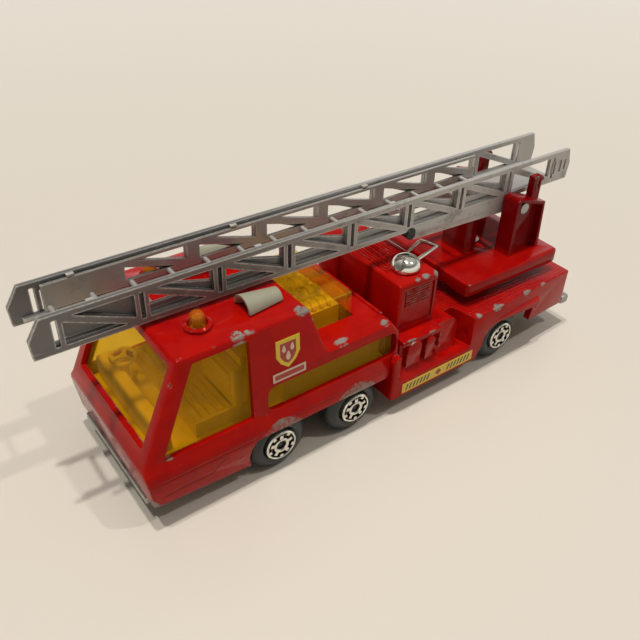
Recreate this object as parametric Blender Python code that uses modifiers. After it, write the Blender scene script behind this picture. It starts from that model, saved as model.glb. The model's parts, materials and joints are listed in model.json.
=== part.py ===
"""Toy fire engine: a die-cast three-axle cab and body with a swivelling, raising, extending ladder.

Metres, +X to the front, +Y to the left, +Z up. The origin is on the ground, under the middle of the
whole length, which runs from the ladder's tail to its tip. Every named sub-part is one object. Moving
pieces hang from an empty on their joint's axis.
"""
import math

import bmesh
import bpy
from mathutils import Matrix, Vector

# ---- driving sizes ---------------------------------------------------------------------------
BODY_LENGTH = 0.1350          # nose to tail of the two painted castings
CAB_LENGTH = 0.0699           # nose to the cab's rear end, nested between the rear casting's wings
SILL_WIDTH = 0.0420           # over the cab's sills, its widest line
DOOR_BOTTOM_WIDTH = 0.0400
WAIST_WIDTH = 0.0396          # just under the side windows
ROOF_WIDTH = 0.0368
ROOF_Z = 0.0418
WAIST_Z = 0.0185
LEDGE_Z = 0.0155              # foot of the sloping ledge under the side windows
SILL_Z = 0.0130               # lower edge of the sides over the front wheels
NOSE_LINE_Z = 0.0170          # the foremost line, under the windscreen
NOSE_BOTTOM_Z = 0.0070
NOSE_UNDERCUT = 0.0013
DOOR_BOTTOM_Z = 0.0050
SCREEN_RAKE = 0.0106          # roof's front edge behind the nose
ROOF_LENGTH = 0.0322
ROOF_BACK_SLOPE = 0.0042
DECK_END = 0.0663             # nose to the rear end of the engine deck's flat top
DECK_END_DROP = 0.0048        # fall of the sloping rear end behind the deck
DECK_SIDE_ROUND = (0.0024, 0.0016)   # width and height taken off the deck's side edges
ENGINE_DECK_Z = 0.0297
CAST_WALL = 0.0013
EDGE_ROUND = 0.0007
SEAT = 0.0003                 # clearance between pieces that rest on each other
DECK_LIP = 0.0008             # raised lip across the rear of the engine deck

SCREEN_SIDE = 0.0020          # roof edge to the windscreen's opening
SCREEN_TOP = 0.0018
SCREEN_FOOT_Z = 0.0212
PILLAR = 0.0042               # windscreen line to the side window
DOOR_WINDOW_BACK = 0.0272     # rear edge of the side window behind the nose
DOOR_WINDOW_Z = 0.0186
LONG_WINDOW_LENGTH = 0.0378
LONG_WINDOW_HEIGHT = 0.0067
LONG_WINDOW_BACK = 0.0688     # rear end of the long window behind the nose

REAR_FRONT = 0.0666           # rear casting's front behind the nose
REAR_WIDTH = 0.0442
TAIL_WIDTH = 0.0412
REAR_DECK_Z = 0.0203
REAR_BOTTOM_Z = 0.0054
TAIL_BOTTOM_Z = 0.0091
SHOULDER_Z = 0.0218           # top of the locker shoulder beside the pump housing, at its front
SHOULDER_DROP = 0.0005        # how far the shoulder falls to its rear end
SHOULDER_LENGTH = 0.0140
SHOULDER_WIDTH = 0.0416
WING_Z = 0.0186               # tops of the wings that lap the cab's rear end
WING_FRONT_Z = 0.0174
WING_LENGTH = 0.0022
WING_SLOPE = 0.0010           # wings' sloping front corner
PUMP_SETBACK = 0.0043         # pump housing behind the rear casting's front edge
PUMP_LENGTH = 0.0131
PUMP_WIDTH = 0.0336
PUMP_TOP_Z = 0.0360
LOUVRE_COUNT = 11
LOUVRE_WIDTH = 0.0004
LOUVRE_DEPTH = 0.0003
LOUVRE_LENGTH = 0.0200
SIDE_PANEL_DEPTH = 0.0004
LOCKER_DEPTH = 0.0026
LOCKER_FLOOR_Z = 0.0138
STEP_Z = 0.0102               # outer edge of the sloping step under the lockers
ALCOVE_LENGTH = 0.0112
ALCOVE_DEPTH = 0.0074
ALCOVE_FLOOR_Z = 0.0112
TANK_LENGTH = 0.0082
TANK_ROUND = 0.0035
COUPLING_RADIUS = 0.0023
COUPLING_PROUD = 0.0017
COUPLING_HEIGHT = 0.0048      # couplings' axes above the locker's floor
SLAT_COUNT = 7
SLAT_PITCH = 0.00075
ROOM_LAP = 0.0004             # how far the casting's rooms run into each other
FENDER_Z = 0.0165
ARCH_TOP_Z = 0.0150
ARCH_FALL = 0.0009            # fall of the rear arch's top edge to its rear end
ARCH_FRONT = 0.0092           # rear arch ahead of its axle
ARCH_CURVE = 0.0058
ARCH_REAR = 0.0119
ARCH_SPLAY = 0.0019           # how far the front end of the rear arch leans
ARCH_REAR_SPLAY = 0.0008

WHEEL_RADIUS = 0.0078
TYRE_WIDTH = 0.0058
TRACK = 0.0409                # over the tyres' side walls
HUB_RADIUS = 0.0041
HUB_PROUD = 0.0007            # hub's face beyond the tyre's side wall
HUB_RING = 0.0009             # width of the hub's rim ring
HUB_SUNK = 0.0007
HUB_CENTRE_RADIUS = 0.0019
SHOULDER = 0.0020             # rounding of the tyres' outer shoulders
WHEEL_SEGMENTS = 24
SPOKE_COUNT = 5
SPOKE_WIDTH = 0.0010
AXLE_RADIUS = 0.0008
AXLE_CLEARANCE = 0.0002
FRONT_AXLE_BACK = 0.0336      # first axle behind the nose
AXLE_SPACING = 0.0222         # first to second axle
REAR_AXLE_AHEAD = 0.0266      # third axle ahead of the tail
ARCH_CLEAR = 0.0005           # wheel pockets beyond the tyres' radius
TYRE_SIDE_CLEAR = 0.00015     # front tyres' side walls to the sills in front of them

BASE_Z = 0.0052
BASE_THICK = 0.0012
BEARING_LENGTH = 0.0040
BEARING_WIDTH = 0.0026
POST_RADIUS = 0.0019          # rivet posts inside the castings
SHANK_RADIUS = 0.0009
SHANK_HEAD_RADIUS = 0.0019
RIVET_REACH = 0.0045          # how far the base rivets reach up into their posts
BASE_WIDTH = 0.0282
BUMPER_Z = 0.0050             # underside of the bumper strip, just below the nose
BUMPER_HEIGHT = 0.0016
BUMPER_WIDTH = 0.0330
BUMPER_PROUD = 0.0005
REAR_STEP_LENGTH = 0.0035     # rear step beyond the tail
REAR_STEP_Z = 0.0077
REAR_STEP_THICK = 0.0028

LADDER_FRONT = 0.1255         # ladder's tip ahead of the swivel axis
LADDER_REAR = 0.0284          # ladder's tail behind the swivel axis
SWIVEL_AHEAD = 0.0215         # swivel axis ahead of the tail
PARKED_SWIVEL = math.radians(-1.2)
SLAB_LENGTH = 0.0358
SLAB_WIDTH = 0.0350
SLAB_THICK = 0.0038
PEDESTAL_HEIGHT = 0.0030
PEDESTAL_RADIUS = 0.0095
RIVET_RADIUS = 0.0016
RIVET_HEAD_RADIUS = 0.0024
RIVET_HEAD = 0.0008
UPRIGHT_LENGTH = 0.0124
UPRIGHT_TOP_LENGTH = 0.0114
UPRIGHT_THICK = 0.0053
UPRIGHT_OVER_PIVOT = 0.0035   # top of the uprights above the pivot pin
UPRIGHT_TOP_FALL = 0.0030
UPRIGHT_BEHIND = 0.0022       # foot of the uprights' front faces behind the swivel axis
UPRIGHT_RECESS = 0.0022
UPRIGHT_FLANGE = 0.0012       # front flange beside the recess
UPRIGHT_WEB = 0.0008          # wall over the recess
UPRIGHT_ROUND = 0.0016
SLAB_CORNER = 0.0018
RIB_DEPTH = 0.0006
KNOB_RADIUS = 0.0009
KNOB_PROUD = 0.0010
TOWER_LENGTH = 0.0030
TOWER_THICK = 0.0020
TOWER_AHEAD = 0.0010          # towers ahead of the uprights' top rear corner
TOWER_RISE = 0.0058           # towers' tops above the ladder's underside
POST_LENGTH = 0.0046
POST_WIDTH = 0.0092
POST_CLEAR = 0.0020           # post's top under the deep side plates
POST_AHEAD = 0.0050           # middle of the post ahead of the swivel axis
PIVOT_DROP = 0.0018           # ladder pivot under the ladder's side frames
PIVOT_BEHIND = 0.0060         # ladder pivot behind the swivel axis
PIN_RADIUS = 0.0008
PIN_HEAD_RADIUS = 0.0015
PIN_HEAD = 0.0013
PIN_CLEARANCE = 0.0002

LADDER_CLEAR = 0.0012         # ladder's side frames over the cab's roof
LADDER_WIDTH = 0.0142
RAIL_HEIGHT = 0.0089
RAIL_THICK = 0.0011
BAY_LENGTH = 0.01768
BAY_COUNT = 8
FIRST_POST = 0.1202           # middle of the first double post ahead of the swivel axis
POST_PAIR = 0.0030            # over a double post
POST_SLOT = 0.0010
CHORD = 0.0013                # height of the frames' top and bottom bars
BRACE = 0.0016                # width of the diagonal
NOSE_CHAMFER = 0.0027
TAIL_CHAMFER = 0.0012         # tail's top corner ahead of its rearmost point
GROOVES = ((0.0018, 0.0008, 0.0030), (0.0036, 0.0013, 0.0036), (0.0061, 0.0019, 0.0039))
GROOVE_DEPTH = 0.0004
DEEP_DROP = 0.0028            # how far the deep side plates hang below the frames
DEEP_FRONT = 0.0296           # front end of the deep plates ahead of the swivel axis
LUG_RADIUS = 0.00135
LUG_PROUD = 0.0005
LUG_DROP = 0.0009             # lugs' axis under the side frames
EAR_RADIUS = 0.0030           # deep plates around the pivot pin
EAR_DROP = 0.0014
TRACK_WIDTH = 0.0010          # ledge inside each frame that carries the extension
TRACK_THICK = 0.0007
EXT_LIFT = 0.0019             # underside of the extension's frames above the base ladder's
EXT_HEIGHT = 0.0062
EXT_THICK = 0.0008
EXT_FRONT = 0.1186            # extension's front end ahead of the swivel axis
EXT_REAR = 0.0024             # extension's rear end behind the swivel axis
EXT_CHORD = 0.0014
RUNG_RADIUS = 0.0006
RUNG_COUNT = 14
FIRST_RUNG = 0.1176
KEEPER_LENGTH = 0.0016        # crimps over the extension's frames
KEEPER_SINK = 0.0001
KEEPER_SHARES = (0.30, 0.62, 0.94)
EXT_REAR_STOP = -0.0030       # rear end of the tracks ahead of the swivel axis
SLIDE_CLEARANCE = 0.00025

GLAZING = 0.0010
GLAZING_BOTTOM_Z = 0.0163
COVER_LENGTH = 0.0129         # amber engine cover, rear face to the foot of the roof's back slope
COVER_WIDTH = 0.0242
COVER_TOP_Z = 0.0364
BEACON_RADIUS = 0.0017
BEACON_HEIGHT = 0.0046
BEACON_BOSS_FOOT = 0.0040
BEACON_BOSS_TOP = 0.0025
BEACON_BOSS = 0.0009
BEACON_SPREAD = 0.0220
BEACON_BACK = 0.0196          # behind the nose
HORN_LENGTH = 0.0092
HORN_RADIUS = 0.0034
HORN_TAIL_RADIUS = 0.0023
HORN_OUT = {"left": 0.0105, "right": 0.0124}   # off the centreline, clear of the parked ladder
HORN_BACK = 0.0305            # mouths of the horns behind the nose
HORN_PEG_RADIUS = 0.0009
INTERIOR_FLOOR_Z = 0.0170
INTERIOR_THICK = 0.0010
SEAT_BACK_Z = 0.0310
SEAT_BACK_THICK = 0.0030
SEAT_WIDTH = 0.0135
SEAT_LENGTH = 0.0125
SEAT_HEIGHT = 0.0040
FLUTE_COUNT = 5
FLUTE = 0.0008                # radius of the seats' flutes
DASH_Z = 0.0232
DASH_DEPTH = 0.0036
STEERING_Z = 0.0248
STEERING_RADIUS = 0.0034
STEERING_RIM = 0.00045
STEERING_Y = -0.0098
COLUMN_WIDTH = 0.0024
BULKHEAD_Z = 0.0330
BULKHEAD_THICK = 0.0012
ENGINE_CLEAR = 0.0012
PIPE_COUNT = 4
PIPE_RADIUS = 0.0017
LAMP_RADIUS = 0.0038
LAMP_HEIGHT = 0.0034
LAMP_SPREAD = 0.0216
LAMP_BACK = 0.0069            # lamp's axis behind the pump housing's front face
LAMP_TURN = math.radians(17.7)
LAMP_PEG_RADIUS = 0.0010
HANDLE_LENGTH = 0.0075
HANDLE_WIDTH = 0.0049
HANDLE_WIRE = 0.0009
HANDLE_RISE = 0.0019          # handle above the pump housing's roof
LABEL_THICK = 0.0001
LABEL_SEAT = 0.00005
EMBLEM_SIZE = 0.0078
EMBLEM_BACK = 0.0367          # middle of the emblem behind the nose
EMBLEM_Z = 0.0330
STRIP_LENGTH = 0.0254
STRIP_HEIGHT = 0.0031
STRIP_BACK = 0.0035           # front end of the strip behind the rear casting's front
STRIP_Z = 0.0078

# ---- derived places --------------------------------------------------------------------------
SWIVEL_X = (LADDER_REAR - LADDER_FRONT) / 2
TAIL_X = SWIVEL_X - SWIVEL_AHEAD
NOSE_X = TAIL_X + BODY_LENGTH
JOINT_X = NOSE_X - CAB_LENGTH
DECK_END_X = NOSE_X - DECK_END
ROOF_FRONT_X = NOSE_X - SCREEN_RAKE
ROOF_REAR_X = ROOF_FRONT_X - ROOF_LENGTH
SLOPE_FOOT_X = ROOF_REAR_X - ROOF_BACK_SLOPE
AXLE_X = (
    NOSE_X - FRONT_AXLE_BACK,
    NOSE_X - FRONT_AXLE_BACK - AXLE_SPACING,
    TAIL_X + REAR_AXLE_AHEAD,
)
REAR_FRONT_X = NOSE_X - REAR_FRONT
NEST_X = JOINT_X - SEAT       # seat for the cab's rear end in the rear casting
PUMP_FRONT_X = REAR_FRONT_X - PUMP_SETBACK
PUMP_REAR_X = PUMP_FRONT_X - PUMP_LENGTH
SHOULDER_REAR_X = NEST_X - SHOULDER_LENGTH
LOCKER_FRONT_X = REAR_FRONT_X - WING_LENGTH
POCKET_RADIUS = WHEEL_RADIUS + ARCH_CLEAR
ARCH_FRONT_X = AXLE_X[2] + POCKET_RADIUS
TYRE_FACE_Y = TRACK / 2
TYRE_INNER_Y = TYRE_FACE_Y - TYRE_WIDTH
POCKET_FACE_Y = TYRE_FACE_Y + TYRE_SIDE_CLEAR
BASE_TOP_Z = BASE_Z + BASE_THICK
SLAB_BOTTOM_Z = REAR_DECK_Z + SEAT + PEDESTAL_HEIGHT
SLAB_TOP_Z = SLAB_BOTTOM_Z + SLAB_THICK
UPRIGHT_INNER_Y = LADDER_WIDTH / 2 + SEAT
LADDER_Z = ROOF_Z + LADDER_CLEAR
PIVOT_Z = LADDER_Z - PIVOT_DROP
UPRIGHT_TOP_Z = PIVOT_Z + UPRIGHT_OVER_PIVOT
TOWER_TOP_Z = LADDER_Z + TOWER_RISE
POST_TOP_Z = LADDER_Z - DEEP_DROP - POST_CLEAR
COVER_REAR_X = SLOPE_FOOT_X - COVER_LENGTH
CAB_RIVET_X = REAR_FRONT_X + SEAT + POST_RADIUS
TAIL_PLATE_Z = REAR_STEP_Z + SEAT
TAIL_PLATE_TOP_Z = TAIL_BOTTOM_Z - SEAT
RIVETS = {
    "front": (CAB_RIVET_X, BASE_Z, BASE_TOP_Z),
    "middle": (ARCH_FRONT_X + POCKET_RADIUS, BASE_Z, BASE_TOP_Z),
    "tail": (TAIL_X + POCKET_RADIUS, TAIL_PLATE_Z, TAIL_PLATE_TOP_Z),
}
EXT_OUTER_Y = LADDER_WIDTH / 2 - RAIL_THICK - SLIDE_CLEARANCE
FAR = 0.0600                  # reach of the cutters beyond the body
AXIS_MARK = 0.0100            # drawn size of the empties on the joints' axes
RED = (0.58, 0.012, 0.008)

PIECES = "toy_fire_engine"
CUTTERS = "cutters"
PLANES = {
    "XY": Matrix.Identity(4),
    "XZ": Matrix(((1, 0, 0, 0), (0, 0, -1, 0), (0, 1, 0, 0), (0, 0, 0, 1))),
    "YZ": Matrix(((0, 0, 1, 0), (1, 0, 0, 0), (0, 1, 0, 0), (0, 0, 0, 1))),
}
SIDES = (("left", 1), ("right", -1))


# ---- scene and materials ---------------------------------------------------------------------
def start_scene():
    for obj in list(bpy.data.objects):
        bpy.data.objects.remove(obj, do_unlink=True)
    for name in (PIECES, CUTTERS):
        collection = bpy.data.collections.get(name) or bpy.data.collections.new(name)
        if name not in bpy.context.scene.collection.children:
            bpy.context.scene.collection.children.link(collection)


def make_material(name, colour, roughness, metallic=0.0, alpha=1.0):
    mat = bpy.data.materials.new(name)
    mat.use_nodes = True
    shader = mat.node_tree.nodes["Principled BSDF"]
    shader.inputs["Base Color"].default_value = (*colour, 1.0)
    shader.inputs["Roughness"].default_value = roughness
    shader.inputs["Metallic"].default_value = metallic
    shader.inputs["Alpha"].default_value = alpha
    mat.diffuse_color = (*colour, alpha)
    return mat


def in_collection(obj, name):
    for collection in list(obj.users_collection):
        collection.objects.unlink(obj)
    bpy.data.collections[name].objects.link(obj)
    return obj


def piece(obj, mat, smooth=False):
    """A finished sub-part: its own material, in the pieces' collection."""
    obj.data.materials.clear()
    obj.data.materials.append(mat)
    if smooth:
        obj.data.shade_smooth()
        obj.data.set_sharp_from_angle(angle=math.radians(35))
    return in_collection(obj, PIECES)


def empty(name, location, turn=0.0):
    obj = bpy.data.objects.new(name, None)
    obj.location = location
    obj.rotation_euler = (0.0, 0.0, turn)
    obj.empty_display_size = AXIS_MARK
    return in_collection(obj, PIECES)


def place(obj, parent=None, move=(0.0, 0.0, 0.0), turn=None):
    """Moves a piece, with the shapes that cut or join it, and may hang it from a parent."""
    obj.location = Vector(obj.location) + Vector(move)
    if turn is not None:
        obj.rotation_euler = turn
    if parent is not None:
        obj.parent = parent
    for modifier in obj.modifiers:
        if modifier.type == "BOOLEAN":
            place(modifier.object, parent, move, turn)
    return obj


# ---- solids ----------------------------------------------------------------------------------
def new_object(name, mesh, at=(0.0, 0.0, 0.0)):
    obj = bpy.data.objects.new(name, mesh)
    obj.location = at
    bpy.context.scene.collection.objects.link(obj)
    return in_collection(obj, CUTTERS)


def plate(name, outlines, thickness, plane, middle=0.0):
    """A flat outline, with any holes, given an even thickness about the middle of its plane."""
    curve = bpy.data.curves.new(name, "CURVE")
    curve.dimensions = "2D"
    curve.fill_mode = "BOTH"
    curve.extrude = thickness / 2
    for points in outlines:
        spline = curve.splines.new("POLY")
        spline.points.add(len(points) - 1)
        for point, (u, v) in zip(spline.points, points):
            point.co = (u, v, 0.0, 1.0)
        spline.use_cyclic_u = True
    sketch = bpy.data.objects.new(name, curve)
    bpy.context.scene.collection.objects.link(sketch)
    solid = sketch.evaluated_get(bpy.context.evaluated_depsgraph_get())
    mesh = bpy.data.meshes.new_from_object(solid)
    bpy.data.objects.remove(sketch, do_unlink=True)
    bm = bmesh.new()
    bm.from_mesh(mesh)
    bmesh.ops.remove_doubles(bm, verts=bm.verts, dist=1e-7)
    bmesh.ops.beautify_fill(bm, faces=bm.faces, edges=bm.edges, use_restrict_tag=False, method="AREA")
    bmesh.ops.translate(bm, vec=(0.0, 0.0, middle), verts=bm.verts)
    bmesh.ops.transform(bm, matrix=PLANES[plane], verts=bm.verts)
    bmesh.ops.recalc_face_normals(bm, faces=bm.faces)
    bm.to_mesh(mesh)
    bm.free()
    return new_object(name, mesh)


def block(name, low, high):
    """A box between two corners."""
    bm = bmesh.new()
    bmesh.ops.create_cube(bm, size=1.0)
    size = [b - a for a, b in zip(low, high)]
    centre = [(a + b) / 2 for a, b in zip(low, high)]
    bmesh.ops.scale(bm, vec=size, verts=bm.verts)
    bmesh.ops.translate(bm, vec=centre, verts=bm.verts)
    mesh = bpy.data.meshes.new(name)
    bm.to_mesh(mesh)
    bm.free()
    return new_object(name, mesh)


def rod(name, start, end, radius, end_radius=None, segments=24):
    """A round bar or cone between two points."""
    start = Vector(start)
    run = Vector(end) - start
    bm = bmesh.new()
    bmesh.ops.create_cone(
        bm,
        cap_ends=True,
        segments=segments,
        radius1=radius,
        radius2=radius if end_radius is None else end_radius,
        depth=run.length,
    )
    turn = Vector((0.0, 0.0, 1.0)).rotation_difference(run).to_matrix().to_4x4()
    bmesh.ops.transform(bm, matrix=Matrix.Translation(start + run / 2) @ turn, verts=bm.verts)
    mesh = bpy.data.meshes.new(name)
    bm.to_mesh(mesh)
    bm.free()
    return new_object(name, mesh)


def turned(name, profile, segments, closed):
    """A profile of (radius, height) points, top to bottom down its outside, turned about Z."""
    bm = bmesh.new()
    verts = [bm.verts.new((radius, 0.0, height)) for radius, height in profile]
    for first, second in zip(verts, verts[1:]):
        bm.edges.new((first, second))
    if closed:
        bm.edges.new((verts[-1], verts[0]))
    mesh = bpy.data.meshes.new(name)
    bm.to_mesh(mesh)
    bm.free()
    obj = new_object(name, mesh)
    screw = obj.modifiers.new("Turn", "SCREW")
    screw.axis = "Z"
    screw.steps = segments
    screw.render_steps = segments
    screw.use_merge_vertices = True
    screw.merge_threshold = 0.00001
    return obj


def boolean(obj, other, operation):
    modifier = obj.modifiers.new(operation.title(), "BOOLEAN")
    modifier.object = other
    modifier.operation = operation
    modifier.solver = "EXACT"
    other.hide_render = True
    other.display_type = "WIRE"
    in_collection(other, CUTTERS)
    return obj


def cut(obj, *others):
    for other in others:
        boolean(obj, other, "DIFFERENCE")
    return obj


def join(obj, *others):
    for other in others:
        boolean(obj, other, "UNION")
    return obj


def common(obj, *others):
    for other in others:
        boolean(obj, other, "INTERSECT")
    return obj


def rounded(obj, width, segments=2, angle=40.0):
    bevel = obj.modifiers.new("Rounding", "BEVEL")
    bevel.width = width
    bevel.segments = segments
    bevel.limit_method = "ANGLE"
    bevel.angle_limit = math.radians(angle)
    bevel.use_clamp_overlap = True
    return obj


def inset(points, depth):
    """The outline moved inwards by an even depth; its points run anticlockwise."""
    count = len(points)
    lines = []
    for index in range(count):
        start = Vector(points[index])
        along = (Vector(points[(index + 1) % count]) - start).normalized()
        inward = Vector((-along.y, along.x))
        lines.append((start + inward * depth, along))
    moved = []
    for index in range(count):
        start, along = lines[index - 1]
        other, across = lines[index]
        turn = along.x * across.y - along.y * across.x
        run = ((other - start).x * across.y - (other - start).y * across.x) / turn
        moved.append(tuple(start + along * run))
    return moved


def soft_corners(points, radius, steps=3):
    """The outline with each corner replaced by an arc of about the given radius."""
    count = len(points)
    result = []
    for index in range(count):
        corner = Vector(points[index])
        before = Vector(points[index - 1]) - corner
        after = Vector(points[(index + 1) % count]) - corner
        half = before.angle(after) / 2
        reach = min(radius / math.tan(half), before.length * 0.45, after.length * 0.45)
        start = corner + before.normalized() * reach
        end = corner + after.normalized() * reach
        for step in range(steps + 1):
            t = step / steps
            result.append(tuple(start * (1 - t) ** 2 + corner * 2 * t * (1 - t) + end * t ** 2))
    return result


def mirrored(points):
    """A half outline at positive first coordinates, closed by its mirror image."""
    return points + [(-u, v) for u, v in reversed(points)]


def arc(centre, radii, start, end, steps):
    """Points on an ellipse, from one angle in degrees to another."""
    angles = [math.radians(start + (end - start) * step / steps) for step in range(steps + 1)]
    return [(centre[0] + radii[0] * math.cos(a), centre[1] + radii[1] * math.sin(a)) for a in angles]


# ---- cab casting -----------------------------------------------------------------------------
def nose_x(z):
    """Front of the cab at a height: the windscreen line, or the undercut below the nose line."""
    if z >= NOSE_LINE_Z:
        return NOSE_X - SCREEN_RAKE * (z - NOSE_LINE_Z) / (ROOF_Z - NOSE_LINE_Z)
    return NOSE_X - NOSE_UNDERCUT * (NOSE_LINE_Z - z) / (NOSE_LINE_Z - NOSE_BOTTOM_Z)


def cab_form(name, depth):
    """The cab's outer form moved inwards by a depth, carried on down past its lower edges."""
    low = -FAR / 4
    side = [
        (JOINT_X, low),
        (nose_x(low), low),
        (NOSE_X, NOSE_LINE_Z),
        (ROOF_FRONT_X, ROOF_Z),
        (ROOF_REAR_X, ROOF_Z),
        (SLOPE_FOOT_X, ENGINE_DECK_Z),
        (DECK_END_X, ENGINE_DECK_Z),
        (JOINT_X, ENGINE_DECK_Z - DECK_END_DROP),
    ]
    half = [
        (DOOR_BOTTOM_WIDTH / 2, low),
        (DOOR_BOTTOM_WIDTH / 2, DOOR_BOTTOM_Z),
        (SILL_WIDTH / 2, SILL_Z),
        (SILL_WIDTH / 2, LEDGE_Z),
        (WAIST_WIDTH / 2, WAIST_Z),
        (ROOF_WIDTH / 2, ROOF_Z),
    ]
    form = plate(name, [inset(side, depth)], SILL_WIDTH * 2, "XZ")
    section = plate(name + "_section", [inset(mirrored(half), depth)], CAB_LENGTH * 2, "YZ", JOINT_X)
    return common(form, section)


def deck_sides():
    """The strips taken off the engine deck's side edges, ending on the plane of the roof's back slope."""
    width, height = DECK_SIDE_ROUND
    high = ENGINE_DECK_Z + height
    foot = SLOPE_FOOT_X - SEAT / 3
    lean = ROOF_BACK_SLOPE / (ROOF_Z - ENGINE_DECK_Z)
    side = [
        (JOINT_X - FAR, ENGINE_DECK_Z - height * 2),
        (foot - height * 2 * lean, ENGINE_DECK_Z - height * 2),
        (foot, ENGINE_DECK_Z),
        (foot, high),
        (JOINT_X - FAR, high),
    ]
    cutters = []
    for name, sign in SIDES:
        edge = WAIST_WIDTH / 2
        edge -= (WAIST_WIDTH - ROOF_WIDTH) / 2 * (ENGINE_DECK_Z - WAIST_Z) / (ROOF_Z - WAIST_Z)
        section = [
            (sign * (edge + width), ENGINE_DECK_Z - height * 2),
            (sign * (edge + width), high),
            (sign * (edge - width * 2), high),
        ]
        strip_length = plate("deck_side_" + name, [side], FAR * 2, "XZ")
        cutters.append(common(strip_length, plate("deck_edge_" + name, [section], FAR * 4, "YZ")))
    return cutters


def under_cab():
    """Everything below the cab's doors, front wheel arches and sills."""
    low = -FAR / 2
    sill = math.degrees(math.asin((SILL_Z - WHEEL_RADIUS) / POCKET_RADIUS))
    door = math.degrees(math.asin((DOOR_BOTTOM_Z - WHEEL_RADIUS) / POCKET_RADIUS))
    arch = arc((AXLE_X[0], WHEEL_RADIUS), (POCKET_RADIUS, POCKET_RADIUS), door, sill, 6)
    outline = [
        (JOINT_X - FAR, low),
        (NOSE_X, low),
        (NOSE_X, NOSE_BOTTOM_Z),
        *arch,
        (JOINT_X - FAR, SILL_Z),
    ]
    return plate("under_cab", [outline], FAR, "XZ")


def wheel_pocket(axle_x):
    face = POCKET_FACE_Y
    name = f"pocket_{round(axle_x * 1e4)}"
    return rod(name, (axle_x, -face, WHEEL_RADIUS), (axle_x, face, WHEEL_RADIUS), POCKET_RADIUS, segments=36)


def windscreen_opening():
    half_foot = ROOF_WIDTH / 2 - SCREEN_SIDE
    low = (nose_x(ROOF_Z - SCREEN_TOP) - CAST_WALL * 2, -half_foot, SCREEN_FOOT_Z)
    high = (NOSE_X + CAST_WALL, half_foot, ROOF_Z - SCREEN_TOP)
    return rounded(block("windscreen_opening", low, high), EDGE_ROUND, 2)


def door_windows():
    back = NOSE_X - DOOR_WINDOW_BACK
    top = ROOF_Z - SCREEN_TOP
    outline = [
        (back, DOOR_WINDOW_Z),
        (nose_x(DOOR_WINDOW_Z) - PILLAR, DOOR_WINDOW_Z),
        (nose_x(top) - PILLAR, top),
        (back, top),
    ]
    return plate("door_windows", [soft_corners(outline, EDGE_ROUND, 2)], FAR, "XZ")


def long_windows():
    back = NOSE_X - LONG_WINDOW_BACK
    front = back + LONG_WINDOW_LENGTH
    top = DOOR_WINDOW_Z + LONG_WINDOW_HEIGHT
    outline = [(back, DOOR_WINDOW_Z), (front, DOOR_WINDOW_Z), (front, top), (back, top)]
    return plate("long_windows", [soft_corners(outline, LONG_WINDOW_HEIGHT / 3, 3)], FAR, "XZ")


def cover_opening():
    half = COVER_WIDTH / 2 + SEAT
    low = (COVER_REAR_X - SEAT, -half, ENGINE_DECK_Z - CAST_WALL * 2)
    high = (SLOPE_FOOT_X + ROOF_BACK_SLOPE, half, COVER_TOP_Z + SEAT)
    return block("cover_opening", low, high)


def beacon_places():
    return [(NOSE_X - BEACON_BACK, sign * BEACON_SPREAD / 2) for _, sign in SIDES]


def horn_place(side, sign):
    return NOSE_X - HORN_BACK, sign * HORN_OUT[side]


def rivet_post(place_name, top):
    """A post inside a casting that takes a base rivet, with its bore."""
    x, _, plate_top = RIVETS[place_name]
    name = "rivet_post_" + place_name
    low = plate_top + SEAT
    post = rod(name, (x, 0.0, low), (x, 0.0, top), POST_RADIUS)
    radius = SHANK_RADIUS + AXLE_CLEARANCE
    bore = rod(name + "_bore", (x, 0.0, low - SEAT), (x, 0.0, low + RIVET_REACH), radius)
    return post, bore


def beacon_boss(x, y):
    """The low cone cast on the roof round a beacon."""
    foot = ROOF_Z - CAST_WALL / 2
    profile = [
        (0.0, ROOF_Z + BEACON_BOSS),
        (BEACON_BOSS_TOP, ROOF_Z + BEACON_BOSS),
        (BEACON_BOSS_FOOT, ROOF_Z),
        (BEACON_BOSS_FOOT, foot),
        (0.0, foot),
    ]
    boss = turned("beacon_boss", profile, 28, closed=False)
    boss.location = (x, y, 0.0)
    return boss


def cab_casting():
    cab = rounded(cab_form("cab_casting", 0.0), EDGE_ROUND, 2, 30.0)
    cut(cab, *deck_sides())
    lip_half = WAIST_WIDTH / 2 - DECK_SIDE_ROUND[0] - CAST_WALL
    lip_low = (DECK_END_X, -lip_half, ENGINE_DECK_Z - CAST_WALL / 2)
    join(cab, block("deck_lip", lip_low, (DECK_END_X + DECK_LIP, lip_half, ENGINE_DECK_Z + DECK_LIP / 2)))
    for x, y in beacon_places():
        join(cab, beacon_boss(x, y))
    cut(cab, cab_form("cab_hollow", CAST_WALL), under_cab())
    post_top = SILL_Z + CAST_WALL * 2
    post, bore = rivet_post("front", post_top)
    web_half = POST_RADIUS / 2
    web_low = (JOINT_X + CAST_WALL / 2, -web_half, SILL_Z + CAST_WALL / 2)
    join(cab, post, block("post_web", web_low, (CAB_RIVET_X, web_half, post_top - CAST_WALL / 2)))
    cut(cab, bore, wheel_pocket(AXLE_X[0]), wheel_pocket(AXLE_X[1]))
    cut(cab, windscreen_opening(), door_windows(), long_windows(), cover_opening())
    for x, y in beacon_places():
        radius = BEACON_RADIUS + SEAT / 2
        cut(cab, rod("beacon_hole", (x, y, ROOF_Z - CAST_WALL * 2), (x, y, ROOF_Z + CAST_WALL), radius))
    for side, sign in SIDES:
        x, y = horn_place(side, sign)
        x -= HORN_LENGTH / 2
        radius = HORN_PEG_RADIUS + AXLE_CLEARANCE
        low = (x, y, ROOF_Z - CAST_WALL * 2)
        cut(cab, rod("horn_hole", low, (x, y, ROOF_Z + CAST_WALL), radius, segments=16))
    return piece(cab, make_material("cab_red_enamel", RED, 0.28))


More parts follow.
